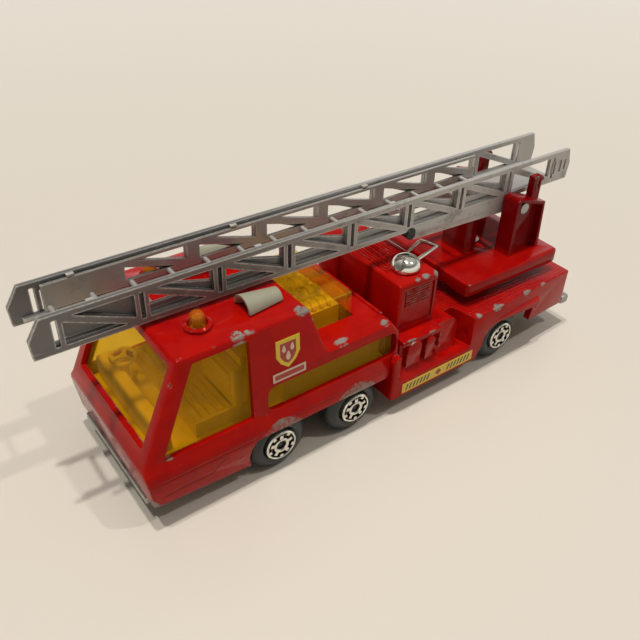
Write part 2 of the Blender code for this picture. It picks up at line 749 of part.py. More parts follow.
# ---- inside the cab --------------------------------------------------------------------------
def cover_box(name, depth, low):
    half = COVER_WIDTH / 2 - depth
    start = (COVER_REAR_X + depth, -half, low)
    return block(name, start, (SLOPE_FOOT_X + ROOF_BACK_SLOPE, half, COVER_TOP_Z - depth))


def beacon(name, x, y):
    """A round-topped lamp on a stem that passes through the roof."""
    base = ROOF_Z - CAST_WALL - SEAT - GLAZING / 2
    top = ROOF_Z + BEACON_HEIGHT
    dome = arc((0.0, top - BEACON_RADIUS), (BEACON_RADIUS, BEACON_RADIUS), 90.0, 0.0, 4)
    profile = [(0.0, top)] + dome[1:] + [(BEACON_RADIUS, base), (0.0, base)]
    lamp = turned(name, profile, 20, closed=False)
    lamp.location = (x, y, 0.0)
    return lamp


def amber_glazing():
    """One clear moulding: windscreen, side panes, roof web with both beacons, and engine cover."""
    outer = CAST_WALL + SEAT
    inner = outer + GLAZING
    glass = cab_form("amber_glazing", outer)
    web = ENGINE_DECK_Z - outer - GLAZING
    join(glass, rounded(cover_box("cover_shell", 0.0, web + GLAZING / 2), GLAZING / 2, 2))
    cut(glass, cab_form("glazing_hollow", inner), cover_box("cover_hollow", GLAZING, web - GLAZING))
    below = block("below_glazing", (JOINT_X - FAR, -FAR, -FAR), (NOSE_X + FAR, FAR, GLAZING_BOTTOM_Z))
    cut(glass, below)
    for x, y in beacon_places():
        join(glass, beacon("beacon", x, y))
    return piece(glass, make_material("amber_clear", (0.85, 0.42, 0.01), 0.08, alpha=0.6))


def seat(name, y):
    """A seat cushion and back with rounded flutes across them."""
    back = NOSE_X - DOOR_WINDOW_BACK
    half = SEAT_WIDTH / 2
    floor = INTERIOR_FLOOR_Z - INTERIOR_THICK / 2
    cushion_top = INTERIOR_FLOOR_Z + SEAT_HEIGHT
    front = back + SEAT_LENGTH
    cushion = block(name, (back, y - half, floor), (front, y + half, cushion_top))
    rest = block(name + "_back", (back, y - half, floor), (back + SEAT_BACK_THICK, y + half, SEAT_BACK_Z))
    join(cushion, rounded(rest, EDGE_ROUND * 1.5, 3))
    flutes = []
    pitch = (SEAT_LENGTH - SEAT_BACK_THICK) / FLUTE_COUNT
    for index in range(FLUTE_COUNT):
        flutes.append((front - pitch * (index + 0.5), cushion_top))
        flutes.append((back + SEAT_BACK_THICK, SEAT_BACK_Z - FLUTE * 2 - pitch * index * 0.8))
    for x, z in flutes:
        start = (x, y - half + FLUTE, z)
        join(cushion, rod(name + "_flute", start, (x, y + half - FLUTE, z), FLUTE, segments=12))
    return cushion


def steering_wheel(clear):
    """The rim, spokes and column of the steering wheel, lying nearly flat behind the windscreen."""
    radius = STEERING_RADIUS - STEERING_RIM
    x = nose_x(STEERING_Z + STEERING_RIM) - clear - SEAT - STEERING_RADIUS
    rim = arc((radius, 0.0), (STEERING_RIM, STEERING_RIM), 0.0, -315.0, 7)
    wheel = turned("steering_rim", rim, 24, closed=True)
    bottom = (0.0, 0.0, -STEERING_RIM)
    hub = rod("steering_hub", bottom, (0.0, 0.0, STEERING_RIM), COLUMN_WIDTH / 3, segments=14)
    parts = [wheel, hub]
    for index in range(3):
        low = (0.0, -STEERING_RIM, -STEERING_RIM / 2)
        spoke = block("steering_spoke", low, (radius, STEERING_RIM, STEERING_RIM / 2))
        spoke.data.transform(Matrix.Rotation(2 * math.pi * index / 3, 4, "Z"))
        parts.append(spoke)
    for part in parts:
        part.location = (x, STEERING_Y, STEERING_Z)
    half = COLUMN_WIDTH / 2
    column_low = (x - half / 2, STEERING_Y - half, INTERIOR_FLOOR_Z - INTERIOR_THICK / 2)
    column_high = (x + half * 1.5, STEERING_Y + half, STEERING_Z - STEERING_RIM / 2)
    parts.append(block("steering_column", column_low, column_high))
    return parts


def interior():
    """The cab's floor, seats, dash, side lockers and the pump engine, in one moulding."""
    clear = CAST_WALL + SEAT * 2 + GLAZING
    half = WAIST_WIDTH / 2 - clear
    low = INTERIOR_FLOOR_Z - INTERIOR_THICK
    back = JOINT_X + clear
    front = nose_x(INTERIOR_FLOOR_Z) - clear
    inside = block("interior", (back, -half, low), (front, half, INTERIOR_FLOOR_Z))
    for name, sign in SIDES:
        join(inside, seat("seat_" + name, sign * (half - SEAT_WIDTH / 2 - SEAT * 3)))
    dash_front = nose_x(DASH_Z) - clear
    dash_low = (dash_front - DASH_DEPTH, -half + DASH_DEPTH / 4, low + INTERIOR_THICK / 2)
    dash_high = (dash_front, half - DASH_DEPTH / 4, DASH_Z)
    join(inside, rounded(block("dash", dash_low, dash_high), EDGE_ROUND, 2))
    join(inside, *steering_wheel(clear))
    wall_x = NOSE_X - DOOR_WINDOW_BACK
    wall_half = ROOF_WIDTH / 2 - clear - SEAT
    bulkhead_low = (wall_x - BULKHEAD_THICK, -wall_half, low + INTERIOR_THICK / 2)
    join(inside, block("bulkhead", bulkhead_low, (wall_x + SEAT, wall_half, BULKHEAD_Z)))
    window_back = NOSE_X - LONG_WINDOW_BACK
    locker_top = DOOR_WINDOW_Z + LONG_WINDOW_HEIGHT * 0.86
    for name, sign in SIDES:
        wall = sorted((sign * (half - SEAT), sign * (half - SEAT - CAST_WALL)))
        start = (window_back + SEAT_BACK_THICK, wall[0], low + INTERIOR_THICK / 2)
        end = (window_back + LONG_WINDOW_LENGTH - SEAT_BACK_THICK * 2, wall[1], locker_top)
        join(inside, block("side_locker_" + name, start, end))
    engine_half = COVER_WIDTH / 2 - GLAZING - ENGINE_CLEAR
    engine_top = COVER_TOP_Z - GLAZING - ENGINE_CLEAR
    start = (COVER_REAR_X + GLAZING + ENGINE_CLEAR, -engine_half, low + INTERIOR_THICK / 2)
    end = (SLOPE_FOOT_X + GLAZING, engine_half, engine_top - PIPE_RADIUS)
    join(inside, block("engine", start, end))
    for index in range(PIPE_COUNT):
        y = -engine_half + (index + 0.5) * engine_half * 2 / PIPE_COUNT
        z = engine_top - PIPE_RADIUS
        pipe_end = (end[0] - PIPE_RADIUS, y, z)
        join(inside, rod("pipe", (start[0] + PIPE_RADIUS, y, z), pipe_end, PIPE_RADIUS, segments=12))
    return piece(inside, make_material("yellow_plastic", (0.80, 0.52, 0.03), 0.45))


def horn(side, sign):
    """A half cone lying on the roof, its mouth to the front, with a peg through the roof."""
    name = "horn_" + side
    x, y = horn_place(side, sign)
    seat_z = ROOF_Z + SEAT
    axis_z = seat_z - HORN_RADIUS * 0.05
    tail = (x - HORN_LENGTH, y, axis_z)
    cone = rod(name, tail, (x, y, axis_z), HORN_TAIL_RADIUS, HORN_RADIUS, segments=28)
    throat = (x - HORN_LENGTH * 0.25, y, axis_z)
    mouth = (x + CAST_WALL, y, axis_z)
    bell = rod(name + "_mouth", throat, mouth, HORN_RADIUS * 0.4, HORN_RADIUS)
    cut(cone, bell, block(name + "_below", (x - FAR, y - FAR, -FAR), (x + FAR, y + FAR, seat_z)))
    middle = x - HORN_LENGTH / 2
    peg_low = (middle, y, seat_z - CAST_WALL)
    join(cone, rod(name + "_peg", peg_low, (middle, y, seat_z + SEAT), HORN_PEG_RADIUS, segments=16))
    return piece(cone, make_material(name + "_cream", (0.55, 0.52, 0.43), 0.4), smooth=True)


# ---- base plate ------------------------------------------------------------------------------
def base_plate():
    """The unpainted cast base: floor, axle bearings, front bumper strip and rear step."""
    half = BASE_WIDTH / 2
    nose = nose_x(BUMPER_Z + BUMPER_HEIGHT / 2)
    front_x = nose - CAST_WALL * 2.5
    tail_floor = AXLE_X[2] - POCKET_RADIUS
    base = block("base_plate", (tail_floor, -half, BASE_Z), (front_x, half, BASE_TOP_Z))
    wide = REAR_WIDTH / 2 - CAST_WALL - SEAT
    middle_high = (REAR_FRONT_X - CAST_WALL - SEAT, wide, BASE_TOP_Z)
    middle = block("base_middle", (ARCH_FRONT_X, -wide, BASE_Z), middle_high)
    cab_half = DOOR_BOTTOM_WIDTH / 2 - CAST_WALL - SEAT
    front_low = (AXLE_X[0] + POCKET_RADIUS, -cab_half, BASE_Z)
    front = block("base_front", front_low, (front_x, cab_half, BASE_TOP_Z))
    bumper_low = (front_x - BASE_THICK, -BUMPER_WIDTH / 2, BUMPER_Z)
    bumper = block("bumper", bumper_low, (nose + BUMPER_PROUD, BUMPER_WIDTH / 2, BUMPER_Z + BUMPER_HEIGHT))
    ramp_low = (tail_floor - BASE_THICK, -half, BASE_Z)
    ramp = block("base_ramp", ramp_low, (tail_floor + BASE_THICK / 2, half, TAIL_PLATE_TOP_Z))
    step_rear = TAIL_X - REAR_STEP_LENGTH
    rear_low = (step_rear + BASE_THICK, -half, TAIL_PLATE_Z)
    rear = block("base_tail", rear_low, (tail_floor, half, TAIL_PLATE_TOP_Z))
    step_low = (step_rear, -TAIL_WIDTH / 2, REAR_STEP_Z)
    step_high = (TAIL_X - SEAT, TAIL_WIDTH / 2, REAR_STEP_Z + REAR_STEP_THICK)
    step = rounded(block("rear_step", step_low, step_high), EDGE_ROUND, 2)
    join(base, middle, front, bumper, ramp, rear, step)
    for x in AXLE_X:
        for _, sign in SIDES:
            y = sign * (half - BEARING_WIDTH)
            low = (x - BEARING_LENGTH / 2, y - BEARING_WIDTH / 2, BASE_Z + BASE_THICK / 2)
            high = (x + BEARING_LENGTH / 2, y + BEARING_WIDTH / 2, WHEEL_RADIUS + BEARING_LENGTH / 2)
            join(base, block("bearing", low, high))
        bore = AXLE_RADIUS + AXLE_CLEARANCE
        cut(base, rod("axle_bore", (x, -half - SEAT, WHEEL_RADIUS), (x, half + SEAT, WHEEL_RADIUS), bore))
    hole = SHANK_RADIUS + AXLE_CLEARANCE
    for x, under, top in RIVETS.values():
        cut(base, rod("rivet_hole", (x, 0.0, under - SEAT), (x, 0.0, top + SEAT), hole, segments=16))
    return piece(base, make_material("bare_zinc", (0.36, 0.36, 0.34), 0.45, 0.9))


def base_rivet(place_name):
    """A rivet that holds a casting to the base plate, head down."""
    name = "base_rivet_" + place_name
    x, plate_under, plate_top = RIVETS[place_name]
    top = plate_top + RIVET_REACH
    under = plate_under - SEAT
    profile = [
        (0.0, top),
        (SHANK_RADIUS, top),
        (SHANK_RADIUS, under),
        (SHANK_HEAD_RADIUS, under),
        (SHANK_HEAD_RADIUS * 0.8, under - RIVET_HEAD * 0.7),
        (0.0, under - RIVET_HEAD),
    ]
    pin = turned(name, profile, 16, closed=False)
    pin.location = (x, 0.0, 0.0)
    return piece(pin, make_material(name + "_steel", (0.50, 0.50, 0.48), 0.35, 1.0), smooth=True)


# ---- rear casting ----------------------------------------------------------------------------
def rear_form():
    low = -FAR / 4
    deck = REAR_DECK_Z
    side = [
        (TAIL_X, low),
        (REAR_FRONT_X, low),
        (REAR_FRONT_X, SHOULDER_Z),
        (SHOULDER_REAR_X, SHOULDER_Z - SHOULDER_DROP),
        (SHOULDER_REAR_X, deck),
        (TAIL_X, deck),
    ]
    plan = [
        (TAIL_X, -TAIL_WIDTH / 2),
        (ARCH_FRONT_X, -REAR_WIDTH / 2),
        (REAR_FRONT_X + FAR, -REAR_WIDTH / 2),
        (REAR_FRONT_X + FAR, REAR_WIDTH / 2),
        (ARCH_FRONT_X, REAR_WIDTH / 2),
        (TAIL_X, TAIL_WIDTH / 2),
    ]
    form = plate("rear_casting", [side], REAR_WIDTH * 2, "XZ")
    return common(form, plate("rear_plan", [plan], FAR * 2, "XY"))


def under_rear():
    """Everything below the rear casting's sides, wheel arches and tail."""
    low = -FAR / 2
    axle = AXLE_X[2]
    centre = (axle + ARCH_FRONT - ARCH_CURVE, ARCH_TOP_Z - ARCH_CURVE)
    curve = arc(centre, (ARCH_CURVE, ARCH_CURVE), 0.0, 90.0, 5)
    outline = [
        (TAIL_X - FAR, low),
        (REAR_FRONT_X + FAR, low),
        (REAR_FRONT_X + FAR, REAR_BOTTOM_Z),
        (axle + ARCH_FRONT + ARCH_SPLAY, REAR_BOTTOM_Z),
        *curve,
        (axle - ARCH_REAR, ARCH_TOP_Z - ARCH_FALL),
        (axle - ARCH_REAR + ARCH_REAR_SPLAY, TAIL_BOTTOM_Z),
        (TAIL_X - FAR, TAIL_BOTTOM_Z),
    ]
    return plate("under_rear", [outline], FAR, "XZ")


def side_cutter(name, outline, inner_y, sign):
    """A cutter from a side outline, from a distance off the centreline outwards."""
    thickness = FAR / 4
    return plate(name, [outline], thickness, "XZ", -sign * (inner_y + thickness / 2))


def locker_cutters(name, sign):
    """The recess under the shoulder, the sloping step and the open alcove behind it."""
    front = LOCKER_FRONT_X
    rear = SHOULDER_REAR_X + CAST_WALL
    back_y = REAR_WIDTH / 2 - LOCKER_DEPTH
    outline = [
        (rear, LOCKER_FLOOR_Z - EDGE_ROUND),
        (front - SEAT / 2, LOCKER_FLOOR_Z),
        (front - SEAT / 2, SHOULDER_Z - CAST_WALL),
        (rear, SHOULDER_Z - SHOULDER_DROP - CAST_WALL),
    ]
    recess = side_cutter("locker_" + name, outline, back_y, sign)
    outer = REAR_WIDTH / 2 + CAST_WALL
    slope = [
        (sign * back_y, LOCKER_FLOOR_Z + CAST_WALL),
        (sign * back_y, LOCKER_FLOOR_Z),
        (sign * REAR_WIDTH / 2, STEP_Z),
        (sign * outer, STEP_Z),
        (sign * outer, SHOULDER_Z + CAST_WALL),
        (sign * SHOULDER_WIDTH / 2, SHOULDER_Z + CAST_WALL),
        (sign * SHOULDER_WIDTH / 2, LOCKER_FLOOR_Z + CAST_WALL),
    ]
    step_rear = rear - ALCOVE_LENGTH
    step = plate("step_" + name, [slope], front - step_rear, "YZ", (front + step_rear) / 2)
    inner = REAR_WIDTH / 2 - ALCOVE_DEPTH
    alcove_front = SHOULDER_REAR_X + EDGE_ROUND
    alcove_rear = alcove_front - ALCOVE_LENGTH
    plan = [
        (alcove_front, sign * inner),
        (alcove_rear + ALCOVE_DEPTH / 4, sign * inner),
        (alcove_rear, sign * outer),
        (alcove_front, sign * outer),
    ]
    height = FAR / 2
    alcove = plate("alcove_" + name, [plan], height, "XY", ALCOVE_FLOOR_Z + height / 2)
    return recess, step, alcove


def locker_fittings(name, sign):
    """Hose connections in the locker and the rounded tank in the alcove."""
    back_y = REAR_WIDTH / 2 - LOCKER_DEPTH
    fittings = []
    for index, (share, radius) in enumerate(((0.28, COUPLING_RADIUS), (0.68, COUPLING_RADIUS * 0.6))):
        x = NEST_X - share * SHOULDER_LENGTH
        z = LOCKER_FLOOR_Z + COUPLING_HEIGHT
        start = (x, sign * (back_y - EDGE_ROUND), z)
        end = (x, sign * (back_y + COUPLING_PROUD), z)
        fittings.append(rod(f"coupling_{name}_{index}", start, end, radius, segments=20))
        wall = sorted((sign * (back_y - EDGE_ROUND), sign * (back_y + COUPLING_PROUD * 0.8)))
        low = (x - radius, wall[0], LOCKER_FLOOR_Z - EDGE_ROUND)
        fittings.append(block(f"pedestal_{name}_{index}", low, (x + radius, wall[1], z)))
    tank_y = REAR_WIDTH / 2 - ALCOVE_DEPTH
    front = SHOULDER_REAR_X + EDGE_ROUND * 2
    rear = front - TANK_LENGTH
    top = SHOULDER_Z - SHOULDER_DROP
    outline = [
        (front, ALCOVE_FLOOR_Z - EDGE_ROUND),
        (front, top),
        *arc((rear + TANK_ROUND, top - TANK_ROUND), (TANK_ROUND, TANK_ROUND), 90.0, 180.0, 6),
        (rear, ALCOVE_FLOOR_Z - EDGE_ROUND),
    ]
    depth = ALCOVE_DEPTH - LOCKER_DEPTH + EDGE_ROUND - SEAT
    tank = plate("tank_" + name, [outline], depth, "XZ", -sign * (tank_y - EDGE_ROUND + depth / 2))
    fittings.append(tank)
    return fittings


def fender(name, sign):
    """The flare over the rear wheel, with a sloping top."""
    outer = REAR_WIDTH / 2
    inner = TAIL_WIDTH / 2 - CAST_WALL
    outline = [
        (sign * inner, ARCH_TOP_Z - CAST_WALL),
        (sign * outer, ARCH_TOP_Z - CAST_WALL),
        (sign * outer, FENDER_Z - EDGE_ROUND),
        (sign * (outer - EDGE_ROUND), FENDER_Z),
        (sign * inner, FENDER_Z + EDGE_ROUND / 2),
    ]
    front = ARCH_FRONT_X
    rear = AXLE_X[2] - ARCH_REAR - CAST_WALL
    return plate("fender_" + name, [outline], front - rear, "YZ", (front + rear) / 2)


def pump_housing():
    half = PUMP_WIDTH / 2
    low = (PUMP_REAR_X, -half, REAR_DECK_Z - CAST_WALL / 2)
    return rounded(block("pump_housing", low, (PUMP_FRONT_X, half, PUMP_TOP_Z)), EDGE_ROUND, 2)


def over_wings():
    """Everything above the wings that lap the cab's rear end."""
    high = SHOULDER_Z + CAST_WALL
    front = REAR_FRONT_X + CAST_WALL
    fall = (WING_Z - WING_FRONT_Z) / WING_SLOPE
    outline = [
        (front, WING_FRONT_Z - CAST_WALL * fall),
        (front, high),
        (NEST_X, high),
        (NEST_X, WING_Z),
        (REAR_FRONT_X - WING_SLOPE, WING_Z),
    ]
    return plate("over_wings", [outline], FAR, "XZ")


def cab_nest():
    """The room between the wings for the cab's rear end, above the cab's sills."""
    nest = cab_form("cab_nest", -SEAT)
    low = (JOINT_X - FAR, -FAR, SILL_Z - SEAT)
    return common(nest, block("above_sill", low, (NOSE_X, FAR, FAR)))


def rear_hollows():
    """The rooms inside the rear casting, open at the bottom."""
    low = -FAR / 4
    tail_half = TAIL_WIDTH / 2 - CAST_WALL
    locker_half = REAR_WIDTH / 2 - LOCKER_DEPTH - CAST_WALL
    alcove_half = REAR_WIDTH / 2 - ALCOVE_DEPTH - CAST_WALL
    low_half = REAR_WIDTH / 2 - CAST_WALL
    notch_half = BASE_WIDTH / 2 + SEAT
    front = REAR_FRONT_X - CAST_WALL
    nest_front = NEST_X - CAST_WALL
    locker_rear = SHOULDER_REAR_X + CAST_WALL
    ceiling = REAR_DECK_Z - CAST_WALL
    pump_half = PUMP_WIDTH / 2 - CAST_WALL
    pump_low = (PUMP_REAR_X + CAST_WALL, -pump_half, low)
    tail_high = (ARCH_FRONT_X + ROOM_LAP, tail_half, ceiling)
    notch_high = (REAR_FRONT_X + SEAT, notch_half, BASE_TOP_Z + SEAT)
    nest_low = (nest_front - ROOM_LAP, -locker_half, low)
    middle_high = (locker_rear + ROOM_LAP, alcove_half, ceiling)
    return (
        block("tail_room", (TAIL_X + CAST_WALL, -tail_half, low), tail_high),
        block("low_room", (ARCH_FRONT_X, -low_half, low), (front, low_half, STEP_Z - CAST_WALL)),
        block("base_notch", (front - ROOM_LAP, -notch_half, low), notch_high),
        block("nest_room", nest_low, (front, locker_half, SILL_Z - SEAT - CAST_WALL)),
        block("middle_room", (ARCH_FRONT_X, -alcove_half, low), middle_high),
        block("locker_room", (locker_rear, -locker_half, low), (nest_front, locker_half, ceiling)),
        block("pump_room", pump_low, (PUMP_FRONT_X - CAST_WALL, pump_half, PUMP_TOP_Z - CAST_WALL)),
    )


def louvres():
    """Grooves across the pump housing's roof and along its side panels."""
    cutters = []
    pitch = (PUMP_LENGTH - CAST_WALL * 2) / LOUVRE_COUNT
    for index in range(LOUVRE_COUNT):
        x = PUMP_REAR_X + CAST_WALL + pitch * (index + 0.5)
        low = (x - LOUVRE_WIDTH / 2, -LOUVRE_LENGTH / 2, PUMP_TOP_Z - LOUVRE_DEPTH)
        high = (x + LOUVRE_WIDTH / 2, LOUVRE_LENGTH / 2, PUMP_TOP_Z + CAST_WALL)
        cutters.append(block(f"roof_louvre_{index}", low, high))
    return cutters


def side_panels(name, sign):
    """The sunk panel on the pump housing's side, with a row of raised louvres."""
    face = PUMP_WIDTH / 2
    wall = sorted((sign * (face - SIDE_PANEL_DEPTH), sign * (face + CAST_WALL)))
    low = (PUMP_REAR_X + CAST_WALL, wall[0], SHOULDER_Z + CAST_WALL)
    high = (PUMP_FRONT_X - CAST_WALL, wall[1], PUMP_TOP_Z - CAST_WALL * 1.5)
    panel = block("side_panel_" + name, low, high)
    slats = []
    for index in range(SLAT_COUNT):
        z = high[2] - SLAT_PITCH * (index + 1)
        slat = sorted((sign * (face - SIDE_PANEL_DEPTH * 2), sign * (face - SIDE_PANEL_DEPTH * 0.2)))
        start = (low[0] + CAST_WALL, slat[0], z)
        end = (high[0] - CAST_WALL, slat[1], z + SLAT_PITCH / 2)
        slats.append(block(f"slat_{name}_{index}", start, end))
    return panel, slats


def rear_casting():
    rear = rounded(rear_form(), EDGE_ROUND * 0.7, 2, 30.0)
    join(rear, pump_housing())
    for name, sign in SIDES:
        join(rear, fender(name, sign))
        cut(rear, *locker_cutters(name, sign))
        join(rear, *locker_fittings(name, sign))
    cut(rear, *rear_hollows(), over_wings(), cab_nest(), under_rear(), wheel_pocket(AXLE_X[2]))
    for place_name in ("middle", "tail"):
        post, bore = rivet_post(place_name, REAR_DECK_Z - CAST_WALL / 2)
        join(rear, post)
        cut(rear, bore)
    cut(rear, *louvres())
    for name, sign in SIDES:
        panel, slats = side_panels(name, sign)
        cut(rear, panel)
        join(rear, *slats)
    top = REAR_DECK_Z + CAST_WALL
    low = REAR_DECK_Z - CAST_WALL * 2
    cut(rear, rod("swivel_hole", (SWIVEL_X, 0.0, low), (SWIVEL_X, 0.0, top), RIVET_RADIUS + AXLE_CLEARANCE))
    x, y = lamp_place()
    bore = LAMP_PEG_RADIUS + AXLE_CLEARANCE
    lamp_low = (x, y, PUMP_TOP_Z - CAST_WALL * 2)
    cut(rear, rod("lamp_hole", lamp_low, (x, y, PUMP_TOP_Z + CAST_WALL), bore, segments=16))
    return piece(rear, make_material("rear_red_enamel", RED, 0.28))


# ---- searchlight -----------------------------------------------------------------------------
def lamp_place():
    return PUMP_FRONT_X - LAMP_BACK, LAMP_SPREAD / 2


def searchlight():
    """A plated dome lamp with a loop handle, turning on a peg; it faces its own +X."""
    seat_z = SEAT
    dome = arc((0.0, seat_z + LAMP_HEIGHT * 0.25), (LAMP_RADIUS, LAMP_HEIGHT * 0.75), 90.0, 0.0, 5)
    profile = [
        (0.0, dome[0][1]),
        *dome[1:],
        (LAMP_RADIUS, seat_z),
        (LAMP_PEG_RADIUS, seat_z),
        (LAMP_PEG_RADIUS, -CAST_WALL * 1.2),
        (0.0, -CAST_WALL * 1.2),
    ]
    lamp = turned("searchlight", profile, 24, closed=False)
    eye_z = seat_z + LAMP_HEIGHT * 0.5
    face = (LAMP_RADIUS * 0.72, 0.0, eye_z)
    beyond = (LAMP_RADIUS * 2, 0.0, eye_z + LAMP_RADIUS * 0.9)
    cut(lamp, rod("lamp_face", face, beyond, LAMP_HEIGHT * 0.42, segments=20))
    start = -LAMP_RADIUS * 0.6
    end = -LAMP_RADIUS - HANDLE_LENGTH
    z = HANDLE_RISE
    half = HANDLE_WIDTH / 2
    wire = HANDLE_WIRE / 2
    for sign in (-1, 1):
        inner = (start, sign * half * 0.7, z)
        join(lamp, rod("handle_side", inner, (end, sign * half, z), wire, segments=10))
    reach = half + wire / 2
    join(lamp, rod("handle_end", (end, -reach, z), (end, reach, z), wire, segments=10))
    x, y = lamp_place()
    place(lamp, empty("searchlight_axis", (x, y, PUMP_TOP_Z), LAMP_TURN))
    return piece(lamp, make_material("lamp_plating", (0.75, 0.74, 0.70), 0.12, 1.0), smooth=True)


# ---- turntable -------------------------------------------------------------------------------
def upright(name, sign):
    """A channel-backed upright with a sloping top, from the slab up beside the ladder's pivot."""
    foot = SLAB_TOP_Z - SLAB_THICK / 2
    front = -UPRIGHT_BEHIND
    rear = front - UPRIGHT_LENGTH
    top_rear = front - UPRIGHT_TOP_LENGTH
    centre = (front - UPRIGHT_ROUND, UPRIGHT_TOP_Z - UPRIGHT_ROUND)
    shoulder = arc(centre, (UPRIGHT_ROUND, UPRIGHT_ROUND), 0.0, 90.0, 4)
    outline = [
        (rear, foot),
        (front, foot),
        *shoulder,
        (top_rear, UPRIGHT_TOP_Z - UPRIGHT_TOP_FALL),
    ]
    middle = sign * (UPRIGHT_INNER_Y + UPRIGHT_THICK / 2)
    column = plate("upright_" + name, [outline], UPRIGHT_THICK, "XZ", -middle)
    rounded(column, EDGE_ROUND / 2, 1, 50.0)
    recess = [
        (rear + CAST_WALL, SLAB_TOP_Z),
        (front - UPRIGHT_FLANGE, SLAB_TOP_Z),
        (front - UPRIGHT_FLANGE, UPRIGHT_TOP_Z - UPRIGHT_WEB),
        (top_rear + UPRIGHT_WEB, UPRIGHT_TOP_Z - UPRIGHT_TOP_FALL - UPRIGHT_WEB),
    ]
    floor_y = UPRIGHT_INNER_Y + UPRIGHT_THICK - UPRIGHT_RECESS
    return column, side_cutter("recess_" + name, recess, floor_y, sign)


def tower(name, sign):
    """The ribbed block with a round knob on top of an upright's rear half."""
    rear = -UPRIGHT_BEHIND - UPRIGHT_TOP_LENGTH + TOWER_AHEAD
    inner = UPRIGHT_INNER_Y + CAST_WALL
    low_z = UPRIGHT_TOP_Z - UPRIGHT_TOP_FALL - CAST_WALL
    walls = sorted((sign * inner, sign * (inner + TOWER_THICK)))
    body = block("tower_" + name, (rear, walls[0], low_z), (rear + TOWER_LENGTH, walls[1], TOWER_TOP_Z))
    pitch = TOWER_LENGTH / 3
    outer = sign * (inner + TOWER_THICK)
    for index in (1, 2):
        x = rear + pitch * index
        groove = sorted((outer - sign * RIB_DEPTH, outer + sign * CAST_WALL))
        low = (x - RIB_DEPTH / 2, groove[0], UPRIGHT_TOP_Z + RIB_DEPTH)
        high = (x + RIB_DEPTH / 2, groove[1], TOWER_TOP_Z + CAST_WALL)
        cut(body, block(f"tower_groove_{name}_{index}", low, high))
    y = sign * (inner + TOWER_THICK / 2)
    z = TOWER_TOP_Z - KNOB_RADIUS * 1.5
    knob = rod("knob_" + name, (rear - KNOB_PROUD, y, z), (rear + CAST_WALL, y, z), KNOB_RADIUS, segments=16)
    return join(body, knob)


def turntable():
    """The swivelling carrier: slab on a round pedestal, two uprights and the post between them."""
    half_length = SLAB_LENGTH / 2
    half_width = SLAB_WIDTH / 2
    outline = [
        (-half_length, -half_width),
        (half_length, -half_width),
        (half_length, half_width),
        (-half_length, half_width),
    ]
    middle = SLAB_TOP_Z - SLAB_THICK / 2
    slab = plate("turntable", [soft_corners(outline, SLAB_CORNER, 3)], SLAB_THICK, "XY", middle)
    rounded(slab, EDGE_ROUND, 2, 50.0)
    low = REAR_DECK_Z + SEAT
    join(slab, rod("pedestal", (0.0, 0.0, low), (0.0, 0.0, middle), PEDESTAL_RADIUS, segments=36))
    hole = RIVET_RADIUS + AXLE_CLEARANCE
    cut(slab, rod("rivet_bore", (0.0, 0.0, low - CAST_WALL), (0.0, 0.0, SLAB_TOP_Z + CAST_WALL), hole))
    for name, sign in SIDES:
        column, recess = upright(name, sign)
        join(slab, column, tower(name, sign))
        cut(slab, recess)
    reach = UPRIGHT_INNER_Y + UPRIGHT_THICK + CAST_WALL
    bore = PIN_RADIUS + PIN_CLEARANCE
    cut(slab, rod("pin_bore", (-PIVOT_BEHIND, -reach, PIVOT_Z), (-PIVOT_BEHIND, reach, PIVOT_Z), bore))
    post_low = (POST_AHEAD - POST_LENGTH / 2, -POST_WIDTH / 2, middle)
    post_high = (POST_AHEAD + POST_LENGTH / 2, POST_WIDTH / 2, POST_TOP_Z)
    join(slab, rounded(block("post", post_low, post_high), EDGE_ROUND / 2, 1))
    return piece(slab, make_material("turntable_red_enamel", RED, 0.28))


def turntable_rivet():
    """The headed rivet on the swivel axis, flared under the deck."""
    top = SLAB_TOP_Z + SEAT
    under = REAR_DECK_Z - CAST_WALL - SEAT
    profile = [
        (0.0, top + RIVET_HEAD),
        (RIVET_HEAD_RADIUS * 0.75, top + RIVET_HEAD),
        (RIVET_HEAD_RADIUS, top + RIVET_HEAD * 0.4),
        (RIVET_HEAD_RADIUS, top),
        (RIVET_RADIUS, top),
        (RIVET_RADIUS, under),
        (RIVET_HEAD_RADIUS * 0.8, under),
        (RIVET_HEAD_RADIUS * 0.8, under - RIVET_HEAD),
        (0.0, under - RIVET_HEAD),
    ]
    rivet = turned("turntable_rivet", profile, 24, closed=False)
    rivet.location = (SWIVEL_X, 0.0, 0.0)
    return piece(rivet, make_material("swivel_rivet_steel", (0.42, 0.42, 0.40), 0.35, 1.0), smooth=True)


def ladder_pin():
    """The pivot pin through both uprights and the ladder's deep plates, headed in the recesses."""
    seat_y = UPRIGHT_INNER_Y + UPRIGHT_THICK - UPRIGHT_RECESS + SEAT
    profile = [
        (0.0, seat_y + PIN_HEAD),
        (PIN_HEAD_RADIUS, seat_y + PIN_HEAD),
        (PIN_HEAD_RADIUS, seat_y),
        (PIN_RADIUS, seat_y),
        (PIN_RADIUS, -seat_y),
        (PIN_HEAD_RADIUS, -seat_y),
        (PIN_HEAD_RADIUS, -seat_y - PIN_HEAD),
        (0.0, -seat_y - PIN_HEAD),
    ]
    pin = turned("ladder_pin", profile, 20, closed=False)
    place(pin, turn=(math.radians(-90), 0.0, 0.0), move=(-PIVOT_BEHIND, 0.0, PIVOT_Z))
    return piece(pin, make_material("pin_steel", (0.30, 0.30, 0.29), 0.4, 1.0), smooth=True)


